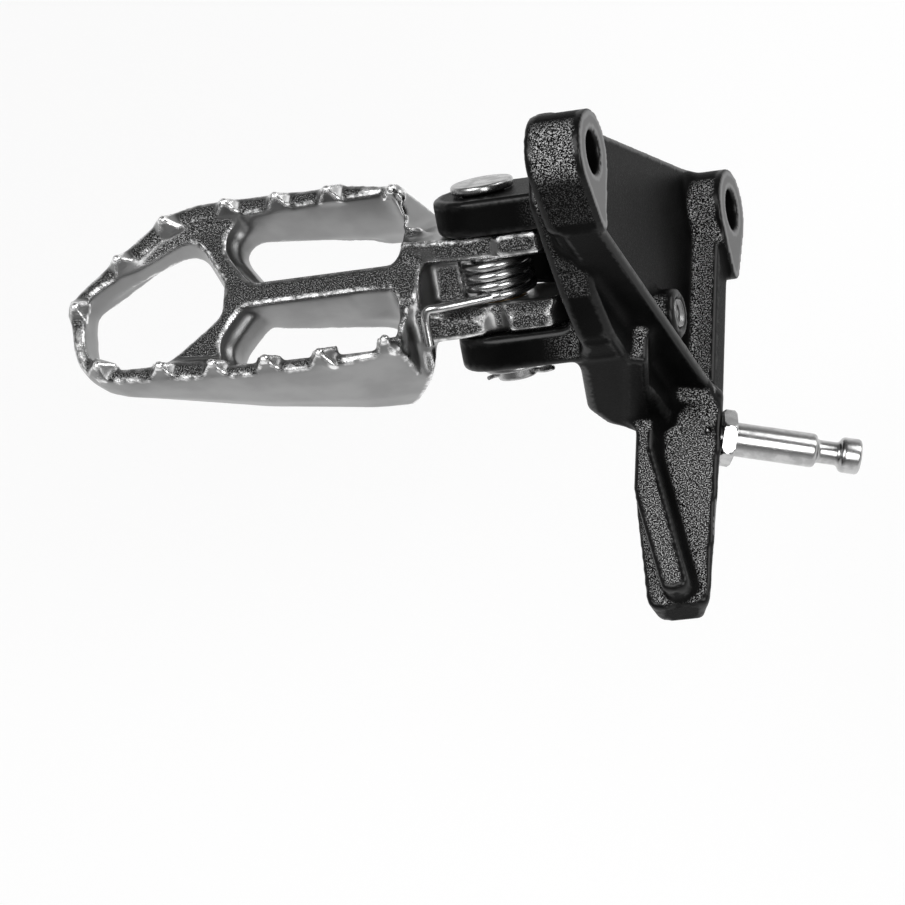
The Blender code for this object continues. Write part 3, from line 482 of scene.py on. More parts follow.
def store_bend(mesh, rounds):
    """How sharply the surface bends: above 0 on outer edges and below 0 in corners."""
    points = point_array(mesh, "co")
    normals = point_array(mesh, "vector")
    bend = ((points - neighbour_mean(mesh, points)) * normals).sum(1, keepdims=True) / VOXEL
    for _ in range(rounds):
        bend = neighbour_mean(mesh, bend)
    store(mesh, "bend", bend[:, 0])


def store_reflection_facing(mesh, direction, reach, highlight_fade_from=None):
    """Where the surface looks a given way: the faces on which the finishes paint a reflection, dark on the peg's
    upper faces and light specks as a painted highlight on the bracket.
    With the last argument, that painted highlight fades out towards the clevis arms and stays out of the bolt
    bores."""
    facing = point_array(mesh, "vector") @ np.array(direction, np.float32)
    grain_and_reflection = smooth_step(facing, *reach)
    points = point_array(mesh, "co")
    if highlight_fade_from:
        grain_and_reflection = grain_and_reflection * smooth_step(points[:, 0], *highlight_fade_from)
        for name in BOLT_BORES:
            around = np.hypot(*(points - opening_centre(name))[:, 1:].T)
            grain_and_reflection = grain_and_reflection * (around > BOLT_BORE / 2 + BORE_CHAMFER)
    store(mesh, "grain_and_reflection", grain_and_reflection)


def store_faced(mesh):
    """Where the bolt pads are machined flat."""
    points = point_array(mesh, "co")
    normals = point_array(mesh, "vector")
    store(mesh, "faced", (np.abs(points[:, 0]) < FACED_BAND) & (normals[:, 0] > FACED_LOOK))


# Peg casting


def side_neighbours(cells):
    """The cells of a slice moved one step to each of four sides."""
    for axis in (0, 1):
        for step in (1, -1):
            yield np.roll(cells, step, axis)


def claimed_by_openings(level, x, y):
    """Where, in a level slice, the nearest open space is one of the tread's openings."""
    open_space = level > 0
    claim = np.zeros(level.shape, np.int8)
    claim[open_space] = OUTSIDE
    for name in OPENING_CORNERS:
        low, high = OPENINGS[name]
        inside = (x[:, 0] > low[0]) & (x[:, 0] < high[0])
        across = (y[0, :] > low[1]) & (y[0, :] < high[1])
        claim[np.ix_(inside, across)] = IN_OPENING
    for _ in range(max(level.shape)):
        grown = claim.copy()
        for near in side_neighbours(claim):
            grown[(claim == OUTSIDE) & (near == IN_OPENING) & open_space] = IN_OPENING
        if (grown == claim).all():
            break
        claim = grown
    for _ in range(round(CLAIM_REACH / VOXEL)):
        grown = claim.copy()
        for near in side_neighbours(claim):
            unclaimed = (grown == 0) & (near > 0)
            grown[unclaimed] = near[unclaimed]
        claim = grown
    return claim == IN_OPENING


def rounded_opening(level, x, y, name):
    """A level slice in which one opening's corners are round."""
    radius = OPENING_CORNERS[name]
    low, high = OPENINGS[name]
    along = (x > low[0] - CORNER_MARGIN) & (x < high[0] + CORNER_MARGIN)
    across = (y > low[1] - CORNER_MARGIN) & (y < high[1] + CORNER_MARGIN)
    around = along & across
    core = np.argwhere(around & (level > radius - VOXEL / 2))
    cells = np.argwhere(around)
    nearest = np.full(len(cells), np.inf)
    for spot in core:
        nearest = np.minimum(nearest, np.hypot(*(cells - spot).T))
    rounded = level.copy()
    rounded[tuple(cells.T)] = np.minimum(level[tuple(cells.T)], radius + VOXEL / 2 - nearest * VOXEL)
    return rounded


def drafted_openings(field, axes):
    """The tread's openings, with round corners and walls that lean back above and below the parting line."""
    x, y, z = axes
    slot_end = OPENINGS["rear_slot"][0][0]
    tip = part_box("peg_casting")[0].x
    root = OPENINGS["front_slot"][1][0]
    share = np.clip((x - tip) / (root - tip), 0, 1)
    parting = PARTING_TIP + share * (PARTING_ROOT - PARTING_TIP)
    square = field[:, :, int(np.argmin(np.abs(z[0, 0, :] - PIN_CENTRE.z - SLICE_RISE)))]
    claimed = claimed_by_openings(square, x[:, :, 0], y[:, :, 0])[:, :, None]
    ends = smooth_step(np.gradient(square, VOXEL, axis=0), *RAMP_FACING)
    ends = (ends * (x[:, :, 0] > slot_end - RAMP_MARGIN))[:, :, None]
    level = square
    for name in OPENING_CORNERS:
        level = rounded_opening(level, x[:, :, 0], y[:, :, 0], name)
    near_wall = (square > -VOXEL) & (level < square - CORNER_STEP)
    corner = claimed & near_wall[:, :, None]
    rise = z - PIN_CENTRE.z
    above = np.maximum(rise - parting, 0)
    below = np.maximum(parting - rise, 0)
    lean = (above + below) * WALL_DRAFT + np.maximum(rise - RAMP_FOOT, 0) * RAMP_SLOPE * ends
    wall = level[:, :, None] + lean
    loop_middle = (OPENINGS["toe_loop"][0][0] + OPENINGS["toe_loop"][1][0]) / 2
    top = np.where(x < loop_middle, VALLEY_RISE, DECK_RISE)
    raised = np.where(x > slot_end - BRANCH_MARGIN, BRANCH_RAISE, 0)
    bottom = 2 * parting - DECK_RISE + raised
    filled = np.maximum(np.maximum(wall, rise - top), bottom - rise)
    field = np.where(corner, np.minimum(field, filled), field)
    return np.maximum(field, np.where(claimed, wall, FAR_INSIDE)).astype(np.float32)


def tooth_tips():
    """The points of the teeth, read from the highest points of the tread."""
    points = node_surface("peg_casting")[0]
    high = points[(points[:, 2] > PIN_CENTRE.z + TOOTH_RISE - TIP_BAND) & (points[:, 0] < TREAD_ROOT)]
    tips = []
    for point in high:
        if all(np.hypot(*(point - tip)[:2]) > TOOTH_BASE / 2 for tip in tips):
            near = high[np.hypot(*(high - point)[:, :2].T) < TOOTH_BASE / 2]
            tips.append(near.mean(0))
    return tips


def feet_under(points, tip):
    """The corners of a tooth's foot on the rim, spread a little and carried down into the rim."""
    level = PIN_CENTRE.z + VALLEY_RISE
    on_rim = np.abs(points[:, 2] - level) < RIM_BAND
    near = np.hypot(*(points - tip)[:, :2].T) < TOOTH_BASE * FOOT_SEARCH
    feet = points[on_rim & near]
    feet[:, :2] = tip[:2] + (feet[:, :2] - tip[:2]) * FOOT_SPREAD
    sunk = feet.copy()
    sunk[:, 2] -= FOOT_SINK
    return np.concatenate([feet, sunk])


def tooth_ridges():
    """The teeth's sloping sides, each with a foot as long as the tooth and a narrow top."""
    points, triangles = node_surface("peg_casting")
    corners = points[triangles]
    above_rim = (corners[:, :, 2] > PIN_CENTRE.z + VALLEY_RISE + RIM_CLEAR).all(1)
    on_tread = (corners[:, :, 0] < TREAD_ROOT).all(1)
    above = points[np.unique(triangles[above_rim & on_tread])]
    teeth = []
    for tip in tooth_tips():
        near = above[np.hypot(*(above - tip)[:, :2].T) < TOOTH_BASE / 2]
        teeth.append(hull_surface(np.concatenate([near, feet_under(points, tip)])))
    return joined(teeth)


def with_tooth_points(field, axes):
    """The peg's distances with a round point added to each tooth."""
    x, y, z = axes
    rise = z - PIN_CENTRE.z
    for tip in tooth_tips():
        ball = np.sqrt((x - tip[0]) ** 2 + (y - tip[1]) ** 2 + (rise - TOOTH_RISE + TOOTH_POINT) ** 2)
        field = np.minimum(field, ball - TOOTH_POINT)
    return field.astype(np.float32)


def make_peg():
    points, faces = union_surface([node_surface("peg_casting")])
    points, faces = filled_corners(points, faces, PEG_FILLET)
    field, axes, low = dense(points, faces, DRAFT_REACH)
    field = drafted_openings(field, axes)
    points, faces = rounded_edges(*skin(field, low), PEG_EDGE)
    points, faces = union_surface([(points, quads_to_triangles(faces)), tooth_ridges()])
    field, axes, low = dense(points, faces, TOOTH_REACH)
    points, faces = skin(with_tooth_points(field, axes), low)
    peg = mesh_object("cast_peg", points, faces)
    store_bend(peg.data, PEG_BEND_SPREAD)
    # Upper faces, for the painted dark reflection on them
    store_reflection_facing(peg.data, PEG_TOP_REFLECTION_FACING, PEG_TOP_REFLECTION_REACH)
    return peg


# Bracket casting


def flat_faces(name, x):
    """Points of a solid's faces that lie at a given x, those of the upper pad and those of the lower one."""
    points, triangles = node_surface(name)
    corners = points[triangles]
    flat = corners[(np.abs(corners[:, :, 0] - x) < PAD_BAND).all(1)].reshape(-1, 3)
    high = flat[:, 2] > PAD_SPLIT
    return [flat[high], flat[~high]]


def pad_stand(pad):
    """A pad carried on past its face, so that its edge stays sharp when it is faced off."""
    ends = [pad + np.float32((step, 0, 0)) for step in (PAD_ROOT, PAD_STAND)]
    return hull_surface(np.concatenate(ends))


def spring_tongue():
    """The shoulder between the clevis arms, under the coil, that the spring's leg lies on."""
    corners = [
        HINGE_PLACE @ Vector((inboard, along, rise))
        for inboard, rise in TONGUE_SECTION
        for along in TONGUE_ALONG
    ]
    return hull_surface(corners)


def make_bracket():
    pads = flat_faces("bracket_casting", 0.0)
    parts = [node_surface("bracket_casting"), spring_tongue()] + [pad_stand(pad) for pad in pads]
    points, faces = union_surface(parts)
    points, faces = filled_corners(points, faces, BRACKET_FILLET)
    points, faces = rounded_edges(points, faces, BRACKET_EDGE)
    field, (x, y, z), low = dense(points, faces, BRACKET_REACH)
    for pad in pads:
        middle = pad.mean(0)
        near = np.hypot(y - middle[1], z - middle[2]) < PAD_REACH
        field = np.where(near, np.maximum(field, x), field)
    for name in BOLT_BORES:
        centre = opening_centre(name)
        around = np.hypot(y - centre[1], z - centre[2])
        widen = np.maximum(x + BORE_CHAMFER, 0)
        field = np.maximum(field, BOLT_BORE / 2 + widen - around)
    points, faces = skin(field.astype(np.float32), low)
    bracket = mesh_object("cast_bracket", points, faces)
    store_bend(bracket.data, BRACKET_BEND_SPREAD)
    # Faces for the painted highlight specks
    store_reflection_facing(bracket.data, BRACKET_HIGHLIGHT_FACING, BRACKET_HIGHLIGHT_REACH, ARM_HIGHLIGHT_FADE)
    store_faced(bracket.data)
    return bracket


# Hinge hardware and post


def axis_place(origin, axis, sideways):
    """A place whose own z runs along an axis and whose y leans to a given side."""
    z = axis.normalized()
    x = sideways.cross(z).normalized()
    return Matrix.Translation(origin) @ Matrix((x, z.cross(x), z)).transposed().to_4x4()


def rounded_profile(profile, cut):
    """A turned profile with its corners, but not its two ends, cut round."""
    made = [profile[0]]
    for before, here, after in zip(profile, profile[1:], profile[2:]):
        here = Vector(here)
        ends = []
        for other in (Vector(before), Vector(after)):
            reach = min(cut, (other - here).length * CORNER_SHARE)
            ends.append(here + (other - here).normalized() * reach)
        for share in np.linspace(0, 1, CORNER_STEPS):
            start = ends[0].lerp(here, share)
            made.append(tuple(start.lerp(here.lerp(ends[1], share), share)))
    return made + [profile[-1]]


def turned(name, rings, place, hollow=False):
    """A turned solid: each ring is a radius, or one radius for each side, and a height."""
    angles = np.arange(TURNED_SIDES) * 2 * math.pi / TURNED_SIDES
    bm = bmesh.new()
    rows = []
    for radius, height in rings:
        radii = np.broadcast_to(radius, angles.shape)
        corners = zip(radii * np.cos(angles), radii * np.sin(angles))
        rows.append([bm.verts.new((x, y, height)) for x, y in corners])
    for low, high in zip(rows, rows[1:]):
        bridge(bm, low, high)
    if hollow:
        bridge(bm, rows[-1], rows[0])
    else:
        bm.faces.new(rows[0])
        bm.faces.new(rows[-1])
    piece = in_scene(name, smooth_mesh(name, bm, TURNED_SHARP))
    piece.matrix_world = place
    return piece


def make_pin():
    profile = [
        (CENTRE_SHARE * PIN_RADIUS, PIN_END),
        (PIN_RADIUS, PIN_END),
        (PIN_RADIUS, PIN_HEAD_LEVEL),
        (PIN_HEAD_RADIUS, PIN_HEAD_LEVEL),
        (PIN_HEAD_RADIUS, PIN_TOP),
        (CENTRE_SHARE * PIN_RADIUS, PIN_TOP),
    ]
    place = axis_place(PIN_CENTRE, PIN_AXIS, INBOARD)
    return turned("turned_pin", rounded_profile(profile, 2 * EDGE_ROUND), place)


def make_washer():
    middle = (WASHER_BORE + WASHER_RADIUS) / 2
    profile = [
        (middle, WASHER_TOP),
        (WASHER_RADIUS, WASHER_TOP),
        (WASHER_RADIUS, WASHER_END),
        (WASHER_BORE, WASHER_END),
        (WASHER_BORE, WASHER_TOP),
        (middle - WASHER_SEAM, WASHER_TOP),
    ]
    place = axis_place(PIN_CENTRE, PIN_AXIS, INBOARD)
    return turned("pressed_washer", rounded_profile(profile, EDGE_ROUND), place, hollow=True)


def hexagon_rings():
    """Rings up a hexagon whose corners are turned off at both ends."""
    angles = np.arange(TURNED_SIDES) * 2 * math.pi / TURNED_SIDES
    flats = HEX_FLATS / 2 / np.cos((angles + math.pi / 6) % (math.pi / 3) - math.pi / 6)
    corner = HEX_FLATS / 2 / math.cos(math.pi / 6)
    rings = []
    for share in HEX_LEVELS:
        height = HEX_BASE + share * (HEX_TOP - HEX_BASE)
        inset = max(HEX_CHAMFER - min(height - HEX_BASE, HEX_TOP - height), 0)
        rings.append((np.minimum(flats, corner - inset), height))
    return rings


def make_post():
    mount = next(mount for mount in frame["record"]["mounts"] if mount["name"] == "post_end")
    axis = Vector(mount["axis"]).normalized()
    seat = Vector(mount["pos_m"]) - axis * POST_LENGTH
    below = [
        (POST_TIP_RADIUS, POST_THREAD_END),
        (POST_THREAD_RADIUS, POST_THREAD_END),
        (POST_THREAD_RADIUS, HEX_BASE),
    ]
    above = [
        (SHANK_RADIUS, HEX_TOP),
        (SHANK_RADIUS, SHANK_TOP),
        (NECK_RADIUS, SHANK_TOP + NECK_TAPER),
        (NECK_RADIUS, NECK_TOP - NECK_UNDERCUT),
        (POST_END_RADIUS, NECK_TOP + NECK_TAPER),
        (POST_END_RADIUS, POST_LENGTH),
        (CENTRE_SHARE * POST_END_RADIUS, POST_LENGTH),
    ]
    rings = below + hexagon_rings() + rounded_profile(above, 2 * EDGE_ROUND)
    return turned("turned_post", rings, axis_place(seat, axis, Vector((0, 1, 0)).cross(axis)))


def make_insert():
    """The threaded insert, with its thread as rings down the bore."""
    low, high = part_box("boss_insert")
    length = high.x - low.x
    profile = [
        (INSERT_RADIUS, 0.0),
        (INSERT_RADIUS, length - EDGE_ROUND),
        (INSERT_RADIUS - EDGE_ROUND, length),
        (INSERT_BORE + 2 * THREAD_DEPTH, length),
    ]
    turns = int((length - 2 * THREAD_DEPTH) / THREAD_PITCH)
    for turn in range(turns):
        level = length - 2 * THREAD_DEPTH - turn * THREAD_PITCH
        profile.append((INSERT_BORE, level))
        profile.append((INSERT_BORE + THREAD_DEPTH, level - THREAD_PITCH / 2))
    profile.append((INSERT_BORE, 0.0))
    middle = (low + high) / 2
    place = axis_place(Vector((low.x, middle.y, middle.z)), INBOARD, Vector((0, 0, 1)))
    return turned("threaded_insert", profile, place, hollow=True)


def eased(points):
    """A path with its corners cut round."""
    for _ in range(BEND_ROUNDS):
        cut = [points[0]]
        for a, b in zip(points, points[1:]):
            cut += [a.lerp(b, BEND_CUT), a.lerp(b, 1 - BEND_CUT)]
        points = cut + [points[-1]]
    return points


def spring_path():
    """The spring's centre line in the hinge's axes: hook, coil, and the leg on the bracket."""
    hook = [
        Vector((HOOK_SIDE, HOOK_END, HOOK_RISE)),
        Vector((HOOK_SIDE, COIL_REAR, HOOK_RISE)),
        Vector((HOOK_BEND * HOOK_SIDE, COIL_REAR, HOOK_RISE)),
    ]
    coil = []
    for share in np.linspace(0, 1, COIL_STEPS):
        turn = math.pi / 2 - 2 * math.pi * COIL_TURNS * share
        level = COIL_REAR + (COIL_FRONT - COIL_REAR) * share
        coil.append(Vector((COIL_RADIUS * math.cos(turn), level, COIL_RADIUS * math.sin(turn))))
    last = coil[-1]
    leg = [
        Vector((last.x + LEG_START, last.y, LEG_BEND * LEG_DROP)),
        Vector((last.x + LEG_TURN, last.y, LEG_DROP)),
        Vector((LEG_END, last.y, LEG_DROP)),
    ]
    return eased(hook + coil[:1])[:-1] + coil + eased(coil[-1:] + leg)[1:]


def make_spring():
    path = [HINGE_PLACE @ point for point in spring_path()]
    bm = bmesh.new()
    side = (path[1] - path[0]).orthogonal().normalized()
    rows = []
    for index, point in enumerate(path):
        ahead = (path[min(index + 1, len(path) - 1)] - path[max(index - 1, 0)]).normalized()
        side = (side - ahead * side.dot(ahead)).normalized()
        across = ahead.cross(side)
        row = []
        for step in range(WIRE_SIDES):
            turn = 2 * math.pi * step / WIRE_SIDES
            row.append(bm.verts.new(point + (side * math.cos(turn) + across * math.sin(turn)) * WIRE_RADIUS))
        rows.append(row)
    for low, high in zip(rows, rows[1:]):
        bridge(bm, low, high)
    bm.faces.new(rows[0])
    bm.faces.new(rows[-1])
    return in_scene("wound_spring", smooth_mesh("wound_spring", bm, WIRE_SHARP))


# Finishes


def feed(tree, socket, value):
    """A socket linked to another one, or set to a value."""
    if isinstance(value, bpy.types.NodeSocket):
        tree.links.new(value, socket)
    else:
        socket.default_value = value


def add(tree, kind, settings=None, **sockets):
    """A shader node with its settings, and its sockets set or linked."""
    made = tree.nodes.new("ShaderNode" + kind)
    for name, value in (settings or {}).items():
        setattr(made, name, value)
    for name, value in sockets.items():
        feed(tree, made.inputs[name.replace("_", " ")], value)
    return made


def calculate(tree, operation, first, second):
    made = add(tree, "Math", {"operation": operation})
    feed(tree, made.inputs[0], first)
    feed(tree, made.inputs[1], second)
    return made.outputs[0]


def spread(tree, value, low, high, start=0.0, end=1.0):
    """A value from low to high taken smoothly to one from start to end."""
    made = add(tree, "MapRange", {"interpolation_type": "SMOOTHSTEP"}, Value=value)
    for name, number in (("From Min", low), ("From Max", high), ("To Min", start), ("To Max", end)):
        feed(tree, made.inputs[name], number)
    return made.outputs["Result"]


def mixed(tree, share, first, second):
    """A colour between two others."""
    made = add(tree, "Mix", {"data_type": "RGBA"})
    feed(tree, made.inputs[0], share)
    feed(tree, made.inputs[6], first)
    feed(tree, made.inputs[7], second)
    return made.outputs[2]


def measure(tree, name):
    """A measure stored on the mesh."""
    return add(tree, "Attribute", {"attribute_name": name}).outputs["Fac"]


def grey(level):
    return (level, level, level, 1)


def new_group(name, inputs, outputs):
    """A node group with its input and output nodes."""
    tree = bpy.data.node_groups.new(name, "ShaderNodeTree")
    for socket, value in inputs.items():
        made = tree.interface.new_socket(socket, in_out="INPUT", socket_type="NodeSocketFloat")
        made.default_value = value
    for socket in outputs:
        tree.interface.new_socket(socket, in_out="OUTPUT", socket_type="NodeSocketFloat")
    return tree, tree.nodes.new("NodeGroupInput"), tree.nodes.new("NodeGroupOutput")


def cast_grain_group():
    """Fine sand-cast texture: its height, a speck mask on which the castings' finishes paint sparkle and highlight
    specks, and slow cloudy patches.
    """
    inputs = {"Fineness": 2200.0, "Patch fineness": 90.0}
    tree, given, out = new_group("cast_grain", inputs, ("Height", "Glint", "Patch"))
    where = add(tree, "TexCoord").outputs["Object"]
    fineness = given.outputs["Fineness"]
    lumps = add(tree, "TexNoise", Vector=where, Scale=fineness, Detail=1.5, Roughness=0.6)
    aside = add(tree, "VectorMath", {"operation": "ADD"})
    feed(tree, aside.inputs[0], where)
    feed(tree, aside.inputs[1], GLINT_SHIFT)
    specks = add(tree, "TexNoise", Vector=aside.outputs[0], Scale=fineness, Detail=1.0, Roughness=0.5)
    patches = add(tree, "TexNoise", Vector=where, Scale=given.outputs["Patch fineness"], Detail=3.0)
    feed(tree, out.inputs["Height"], lumps.outputs[0])
    feed(tree, out.inputs["Glint"], spread(tree, specks.outputs[0], *GLINT_RANGE))
    feed(tree, out.inputs["Patch"], spread(tree, patches.outputs[0], *PATCH_RANGE))
    return tree


def edge_highlight_and_shade_group():
    """Masks for outer edges and for hollow corners, from how the surface bends: the plated finish paints a
    highlight on the edges and shade in the corners.
    """
    inputs = {"Start": 0.03, "Full": 0.1, "Breakup fineness": 600.0}
    tree, given, out = new_group("edge_highlight_and_shade", inputs, ("Edge", "Corner"))
    bend = measure(tree, "bend")
    where = add(tree, "TexCoord").outputs["Object"]
    breakup = add(tree, "TexNoise", Vector=where, Scale=given.outputs["Breakup fineness"], Detail=2.0)
    gain = spread(tree, breakup.outputs[0], *BREAKUP_RANGE, *BREAKUP_GAIN)
    rough_bend = calculate(tree, "MULTIPLY", bend, gain)
    hollow = calculate(tree, "MULTIPLY", rough_bend, -1.0)
    start = given.outputs["Start"]
    full = given.outputs["Full"]
    feed(tree, out.inputs["Edge"], spread(tree, rough_bend, start, full))
    feed(tree, out.inputs["Corner"], spread(tree, hollow, start, full))
    return tree


def turning_marks_group():
    """Fine rings left by the lathe around a piece's own z."""
    tree, given, out = new_group("turning_marks", {"Ring fineness": 6000.0}, ("Mark", "Smudge"))
    where = add(tree, "TexCoord").outputs["Object"]
    squeeze = add(tree, "Mapping", Vector=where, Scale=RING_SQUEEZE)
    rings = add(tree, "TexNoise", Vector=squeeze.outputs[0], Scale=given.outputs["Ring fineness"], Detail=3.0)
    smudge = add(tree, "TexNoise", Vector=where, Scale=SMUDGE_FINENESS, Detail=3.0)
    feed(tree, out.inputs["Mark"], rings.outputs[0])
    feed(tree, out.inputs["Smudge"], spread(tree, smudge.outputs[0], *PATCH_RANGE))
    return tree


def place_group(tree, group, values):
    """A node group in a finish, with some of its inputs set."""
    made = tree.nodes.new("ShaderNodeGroup")
    made.node_tree = group
    for name, value in values.items():
        made.inputs[name].default_value = value
    return made.outputs


def new_finish(name):
    finish = bpy.data.materials.new(name)
    finish.use_nodes = True
    return finish, finish.node_tree, finish.node_tree.nodes["Principled BSDF"]


def bumped(tree, shader, height, depth):
    """The height as bumps of a given depth in metres."""
    bump = add(tree, "Bump", Height=height, Distance=depth, Strength=1.0)
    feed(tree, shader.inputs["Normal"], bump.outputs[0])


def cast_silver_finish(groups):
    """Bright plated casting: tops painted dark with light flecks, a painted dark reflection with painted sparkle;
    plain grey walls; corners painted darker as painted shade; outer edges painted near white as a painted
    highlight.
    """
    finish, tree, shader = new_finish("cast_silver")
    fineness = {"Fineness": GRAIN_FINENESS, "Patch fineness": SILVER_PATCH}
    grain_and_reflection = place_group(tree, groups["cast_grain"], fineness)
    bend_marks = place_group(tree, groups["edge_highlight_and_shade"], SILVER_HIGHLIGHT_BEND)
    top = measure(tree, "grain_and_reflection")
    wall = mixed(tree, grain_and_reflection["Patch"], grey(WALL_GREY[0]), grey(WALL_GREY[1]))
    # Upper faces painted dark with light flecks: a painted dark reflection with painted sparkle
    top_reflection = mixed(tree, grain_and_reflection["Glint"], grey(TOP_REFLECTION_GREY[0]), grey(TOP_REFLECTION_GREY[1]))
    base = mixed(tree, top, wall, top_reflection)
    # Hollow corners painted darker: painted shade
    corner_shade = calculate(tree, "MULTIPLY", bend_marks["Corner"], CORNER_SHADE_SHARE)
    base = mixed(tree, corner_shade, base, grey(CORNER_SHADE_GREY))
    # Outer edges painted near white: a painted highlight
    base = mixed(tree, bend_marks["Edge"], base, grey(EDGE_HIGHLIGHT_GREY))
    feed(tree, shader.inputs["Base Color"], base)
    rough = spread(tree, top, 0.0, 1.0, *SILVER_ROUGHNESS)
    rough = calculate(tree, "SUBTRACT", rough, calculate(tree, "MULTIPLY", bend_marks["Edge"], EDGE_SHINE))
    feed(tree, shader.inputs["Roughness"], rough)
    feed(tree, shader.inputs["Metallic"], 1.0)
    height = calculate(tree, "MULTIPLY", grain_and_reflection["Height"], spread(tree, top, 0.0, 1.0, WALL_BUMP, 1.0))
    bumped(tree, shader, height, SILVER_DEPTH)
    return finish


def black_coat_finish(groups):
    """Black powder coat over the sand-cast bracket: grey specks on upper faces as a painted highlight, and plain
    satin pads painted lighter as a painted reflection.
    """
    finish, tree, shader = new_finish("black_coating")
    fineness = {"Fineness": GRAIN_FINENESS, "Patch fineness": COAT_PATCH}
    grain_and_reflection = place_group(tree, groups["cast_grain"], fineness)
    bend_marks = place_group(tree, groups["edge_highlight_and_shade"], COAT_POLISH)
    faced = measure(tree, "faced")
    upper = measure(tree, "grain_and_reflection")
    upper = calculate(tree, "MULTIPLY", upper, calculate(tree, "SUBTRACT", 1.0, bend_marks["Edge"]))
    coat = mixed(tree, grain_and_reflection["Patch"], grey(COAT_GREY[0]), grey(COAT_GREY[1]))
    # Grey specks on upper faces: a painted highlight
    coat = mixed(tree, calculate(tree, "MULTIPLY", grain_and_reflection["Glint"], upper), coat, grey(SPECK_HIGHLIGHT_GREY))
    # Bolt pads painted lighter grey: a painted reflection
    feed(tree, shader.inputs["Base Color"], mixed(tree, faced, coat, grey(PAD_REFLECTION_GREY)))
    rough = spread(tree, grain_and_reflection["Glint"], 0.0, 1.0, *COAT_ROUGHNESS)
    rough = calculate(tree, "ADD", rough, calculate(tree, "MULTIPLY", faced, PAD_ROUGHNESS))
    feed(tree, shader.inputs["Roughness"], rough)
    feed(tree, shader.inputs["Specular IOR Level"], COAT_SPECULAR)
    feed(tree, shader.inputs["Coat Roughness"], GLOSS_ROUGHNESS)
    feed(tree, shader.inputs["Coat Weight"], calculate(tree, "MULTIPLY", bend_marks["Edge"], GLOSS_WEIGHT))
    grit = calculate(tree, "ADD", calculate(tree, "MULTIPLY", upper, GRIT_UPPER), GRIT_PLAIN)
    grit = calculate(tree, "MULTIPLY", grit, calculate(tree, "SUBTRACT", 1.0, faced))
    bumped(tree, shader, calculate(tree, "MULTIPLY", grain_and_reflection["Height"], grit), COAT_DEPTH)
    return finish


def turned_finish(groups, name, dark, bright, roughness):
    """Plated or plain turned steel, with the lathe's rings."""
    finish, tree, shader = new_finish(name)
    marks = place_group(tree, groups["turning_marks"], {})
    feed(tree, shader.inputs["Base Color"], mixed(tree, marks["Smudge"], grey(dark), grey(bright)))
    rough = spread(tree, marks["Smudge"], 0.0, 1.0, roughness * SMUDGE_ROUGHER, roughness)
    feed(tree, shader.inputs["Roughness"], rough)
    feed(tree, shader.inputs["Metallic"], 1.0)
    bumped(tree, shader, marks["Mark"], TURNING_DEPTH)
    return finish


def grained_metal_finish(groups, name, dark, bright, roughness):
    """Drawn wire or sintered metal, with a fine even grain."""
    finish, tree, shader = new_finish(name)
    fineness = {"Fineness": GRAIN_FINENESS, "Patch fineness": METAL_PATCH}
    grain_and_reflection = place_group(tree, groups["cast_grain"], fineness)
    feed(tree, shader.inputs["Base Color"], mixed(tree, grain_and_reflection["Patch"], dark, bright))
    rough = spread(tree, grain_and_reflection["Patch"], 0.0, 1.0, roughness * PATCH_ROUGHER, roughness)
    feed(tree, shader.inputs["Roughness"], rough)
    feed(tree, shader.inputs["Metallic"], 1.0)
    bumped(tree, shader, grain_and_reflection["Height"], METAL_DEPTH)
    return finish


def make_finishes():
    groups = {
        "cast_grain": cast_grain_group(),
        "edge_highlight_and_shade": edge_highlight_and_shade_group(),
        "turning_marks": turning_marks_group(),
    }
    return {
        "cast_silver": cast_silver_finish(groups),
        "black_coating": black_coat_finish(groups),
        "pin_steel": turned_finish(groups, "pin_steel", dark=0.34, bright=0.48, roughness=0.26),
        "insert_steel": turned_finish(groups, "insert_steel", dark=0.22, bright=0.34, roughness=0.38),
        "bright_zinc": turned_finish(groups, "bright_zinc", dark=0.42, bright=0.55, roughness=0.2),
        "spring_steel": grained_metal_finish(
            groups, "spring_steel", WIRE_DARK, WIRE_BRIGHT, WIRE_ROUGHNESS
        ),
        "bush_bronze": grained_metal_finish(
            groups, "bush_bronze", BRONZE_DARK, BRONZE_BRIGHT, BRONZE_ROUGHNESS
        ),
    }


# Studio


def make_camera():
    data = bpy.data.cameras.new("camera")
    data.lens = CAMERA_LENS
    data.sensor_width = CAMERA_SENSOR
    camera = in_scene("camera", data)
    back = CAMERA_BACK.normalized()
    right = CAMERA_UP.cross(back).normalized()
    turn = Matrix((right, back.cross(right), back)).transposed().to_4x4()
    camera.matrix_world = Matrix.Translation(CAMERA_PLACE) @ turn
    bpy.context.scene.camera = camera


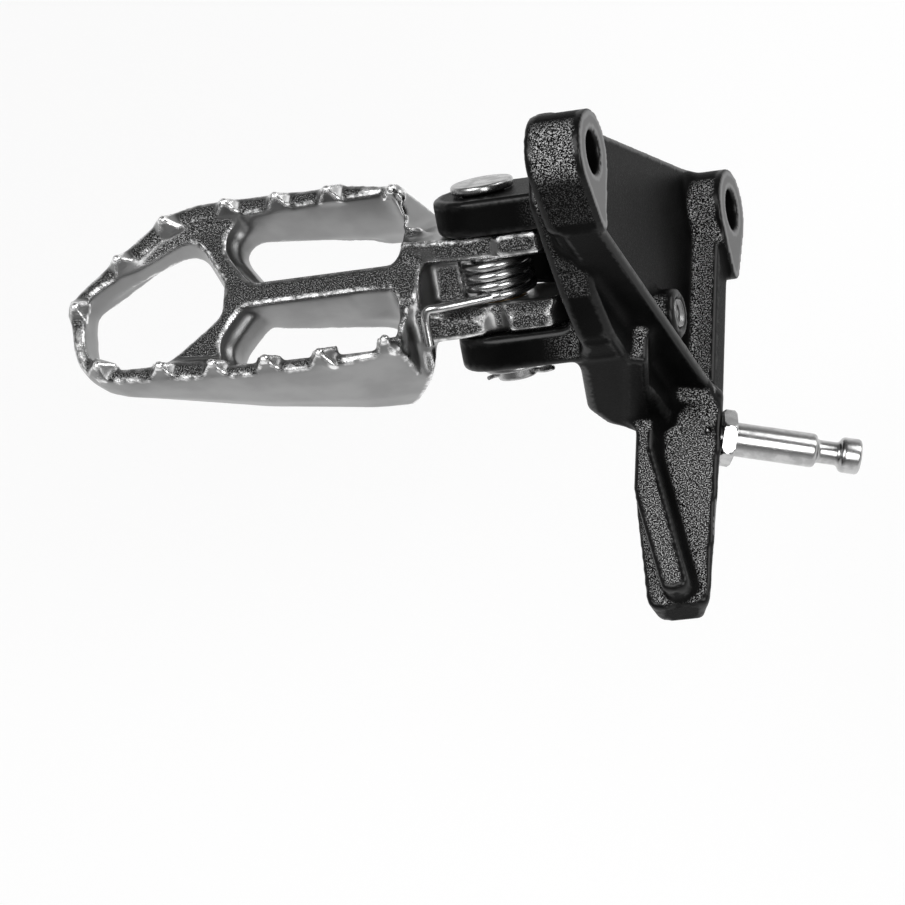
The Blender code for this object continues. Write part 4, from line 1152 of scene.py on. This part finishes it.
def make_floor():
    """A white floor that also glows a little where it is seen, as the photograph's ground does."""
    bm = bmesh.new()
    bmesh.ops.create_grid(bm, x_segments=1, y_segments=1, size=FLOOR_HALF)
    mesh = bpy.data.meshes.new("floor")
    bm.to_mesh(mesh)
    bm.free()
    floor = in_scene("floor", mesh)
    floor.location.z = CAD_BOX[0].z - FLOOR_DROP
    paint, tree, shader = new_finish("floor_white")
    feed(tree, shader.inputs["Base Color"], FLOOR_WHITE)
    feed(tree, shader.inputs["Roughness"], FLOOR_ROUGHNESS)
    feed(tree, shader.inputs["Specular IOR Level"], 0.0)
    rays = add(tree, "LightPath").outputs
    seen = calculate(tree, "MAXIMUM", rays["Is Camera Ray"], rays["Is Glossy Ray"])
    seen = calculate(tree, "MAXIMUM", seen, rays["Is Transmission Ray"])
    glow = add(tree, "Emission", Color=WHITE, Strength=1.0)
    blend = add(tree, "MixShader", Fac=calculate(tree, "MULTIPLY", seen, FLOOR_GLOW))
    feed(tree, blend.inputs[1], shader.outputs[0])
    feed(tree, blend.inputs[2], glow.outputs[0])
    feed(tree, tree.nodes["Material Output"].inputs["Surface"], blend.outputs[0])
    mesh.materials.append(paint)


def make_softbox(name, direction, size, power):
    lamp = bpy.data.lights.new(name, "AREA")
    lamp.shape = "DISK"
    lamp.size = size
    lamp.energy = power
    softbox = in_scene(name, lamp)
    aim = direction.normalized()
    softbox.location = PIN_CENTRE + aim * LIGHT_DISTANCE
    softbox.rotation_euler = aim.to_track_quat("Z", "Y").to_euler()


def make_lights():
    """A white surround that dims overhead, and three large soft lights."""
    world = bpy.data.worlds.new("studio")
    bpy.context.scene.world = world
    world.use_nodes = True
    tree = world.node_tree
    background = tree.nodes["Background"]
    height = add(tree, "SeparateXYZ", Vector=add(tree, "TexCoord").outputs["Generated"]).outputs["Z"]
    strength = spread(tree, height, 0.0, OVERHEAD_FROM, HORIZON_LIGHT, OVERHEAD_LIGHT)
    feed(tree, background.inputs["Strength"], strength)
    feed(tree, background.inputs["Color"], WHITE)
    make_softbox("key", KEY_DIRECTION, KEY_SIZE, KEY_POWER)
    make_softbox("front", FRONT_DIRECTION, FRONT_SIZE, FRONT_POWER)
    make_softbox("back", BACK_DIRECTION, BACK_SIZE, BACK_POWER)


def dress(piece, body, node, slot, finishes):
    """A piece that stands for a solid, on its body and in its finish."""
    piece.data.materials.clear()
    piece.data.materials.append(finishes[slot])
    if body:
        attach(piece, body)
    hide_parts(node)


def main():
    make_camera()
    make_floor()
    make_lights()
    bpy.context.scene.view_settings.view_transform = "Standard"
    finishes = make_finishes()
    dress(make_peg(), "peg", "peg_casting", "cast_silver", finishes)
    dress(make_bracket(), "bracket", "bracket_casting", "black_coating", finishes)
    dress(make_pin(), "bracket", "hinge_pin", "pin_steel", finishes)
    dress(make_washer(), "bracket", "pin_washer", "pin_steel", finishes)
    dress(make_post(), "bracket", "spring_post", "bright_zinc", finishes)
    dress(make_insert(), "bracket", "boss_insert", "insert_steel", finishes)
    spring = make_spring()
    dress(spring, None, "torsion_spring", "spring_steel", finishes)
    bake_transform(spring)
    kept = {
        "split_pin": "pin_steel",
        "ear_bush_front": "bush_bronze",
        "ear_bush_rear": "bush_bronze",
        "spring_sleeve": "spring_steel",
    }
    for node, slot in kept.items():
        for place in NODES[node].material_slots:
            place.material = finishes[slot]


main()
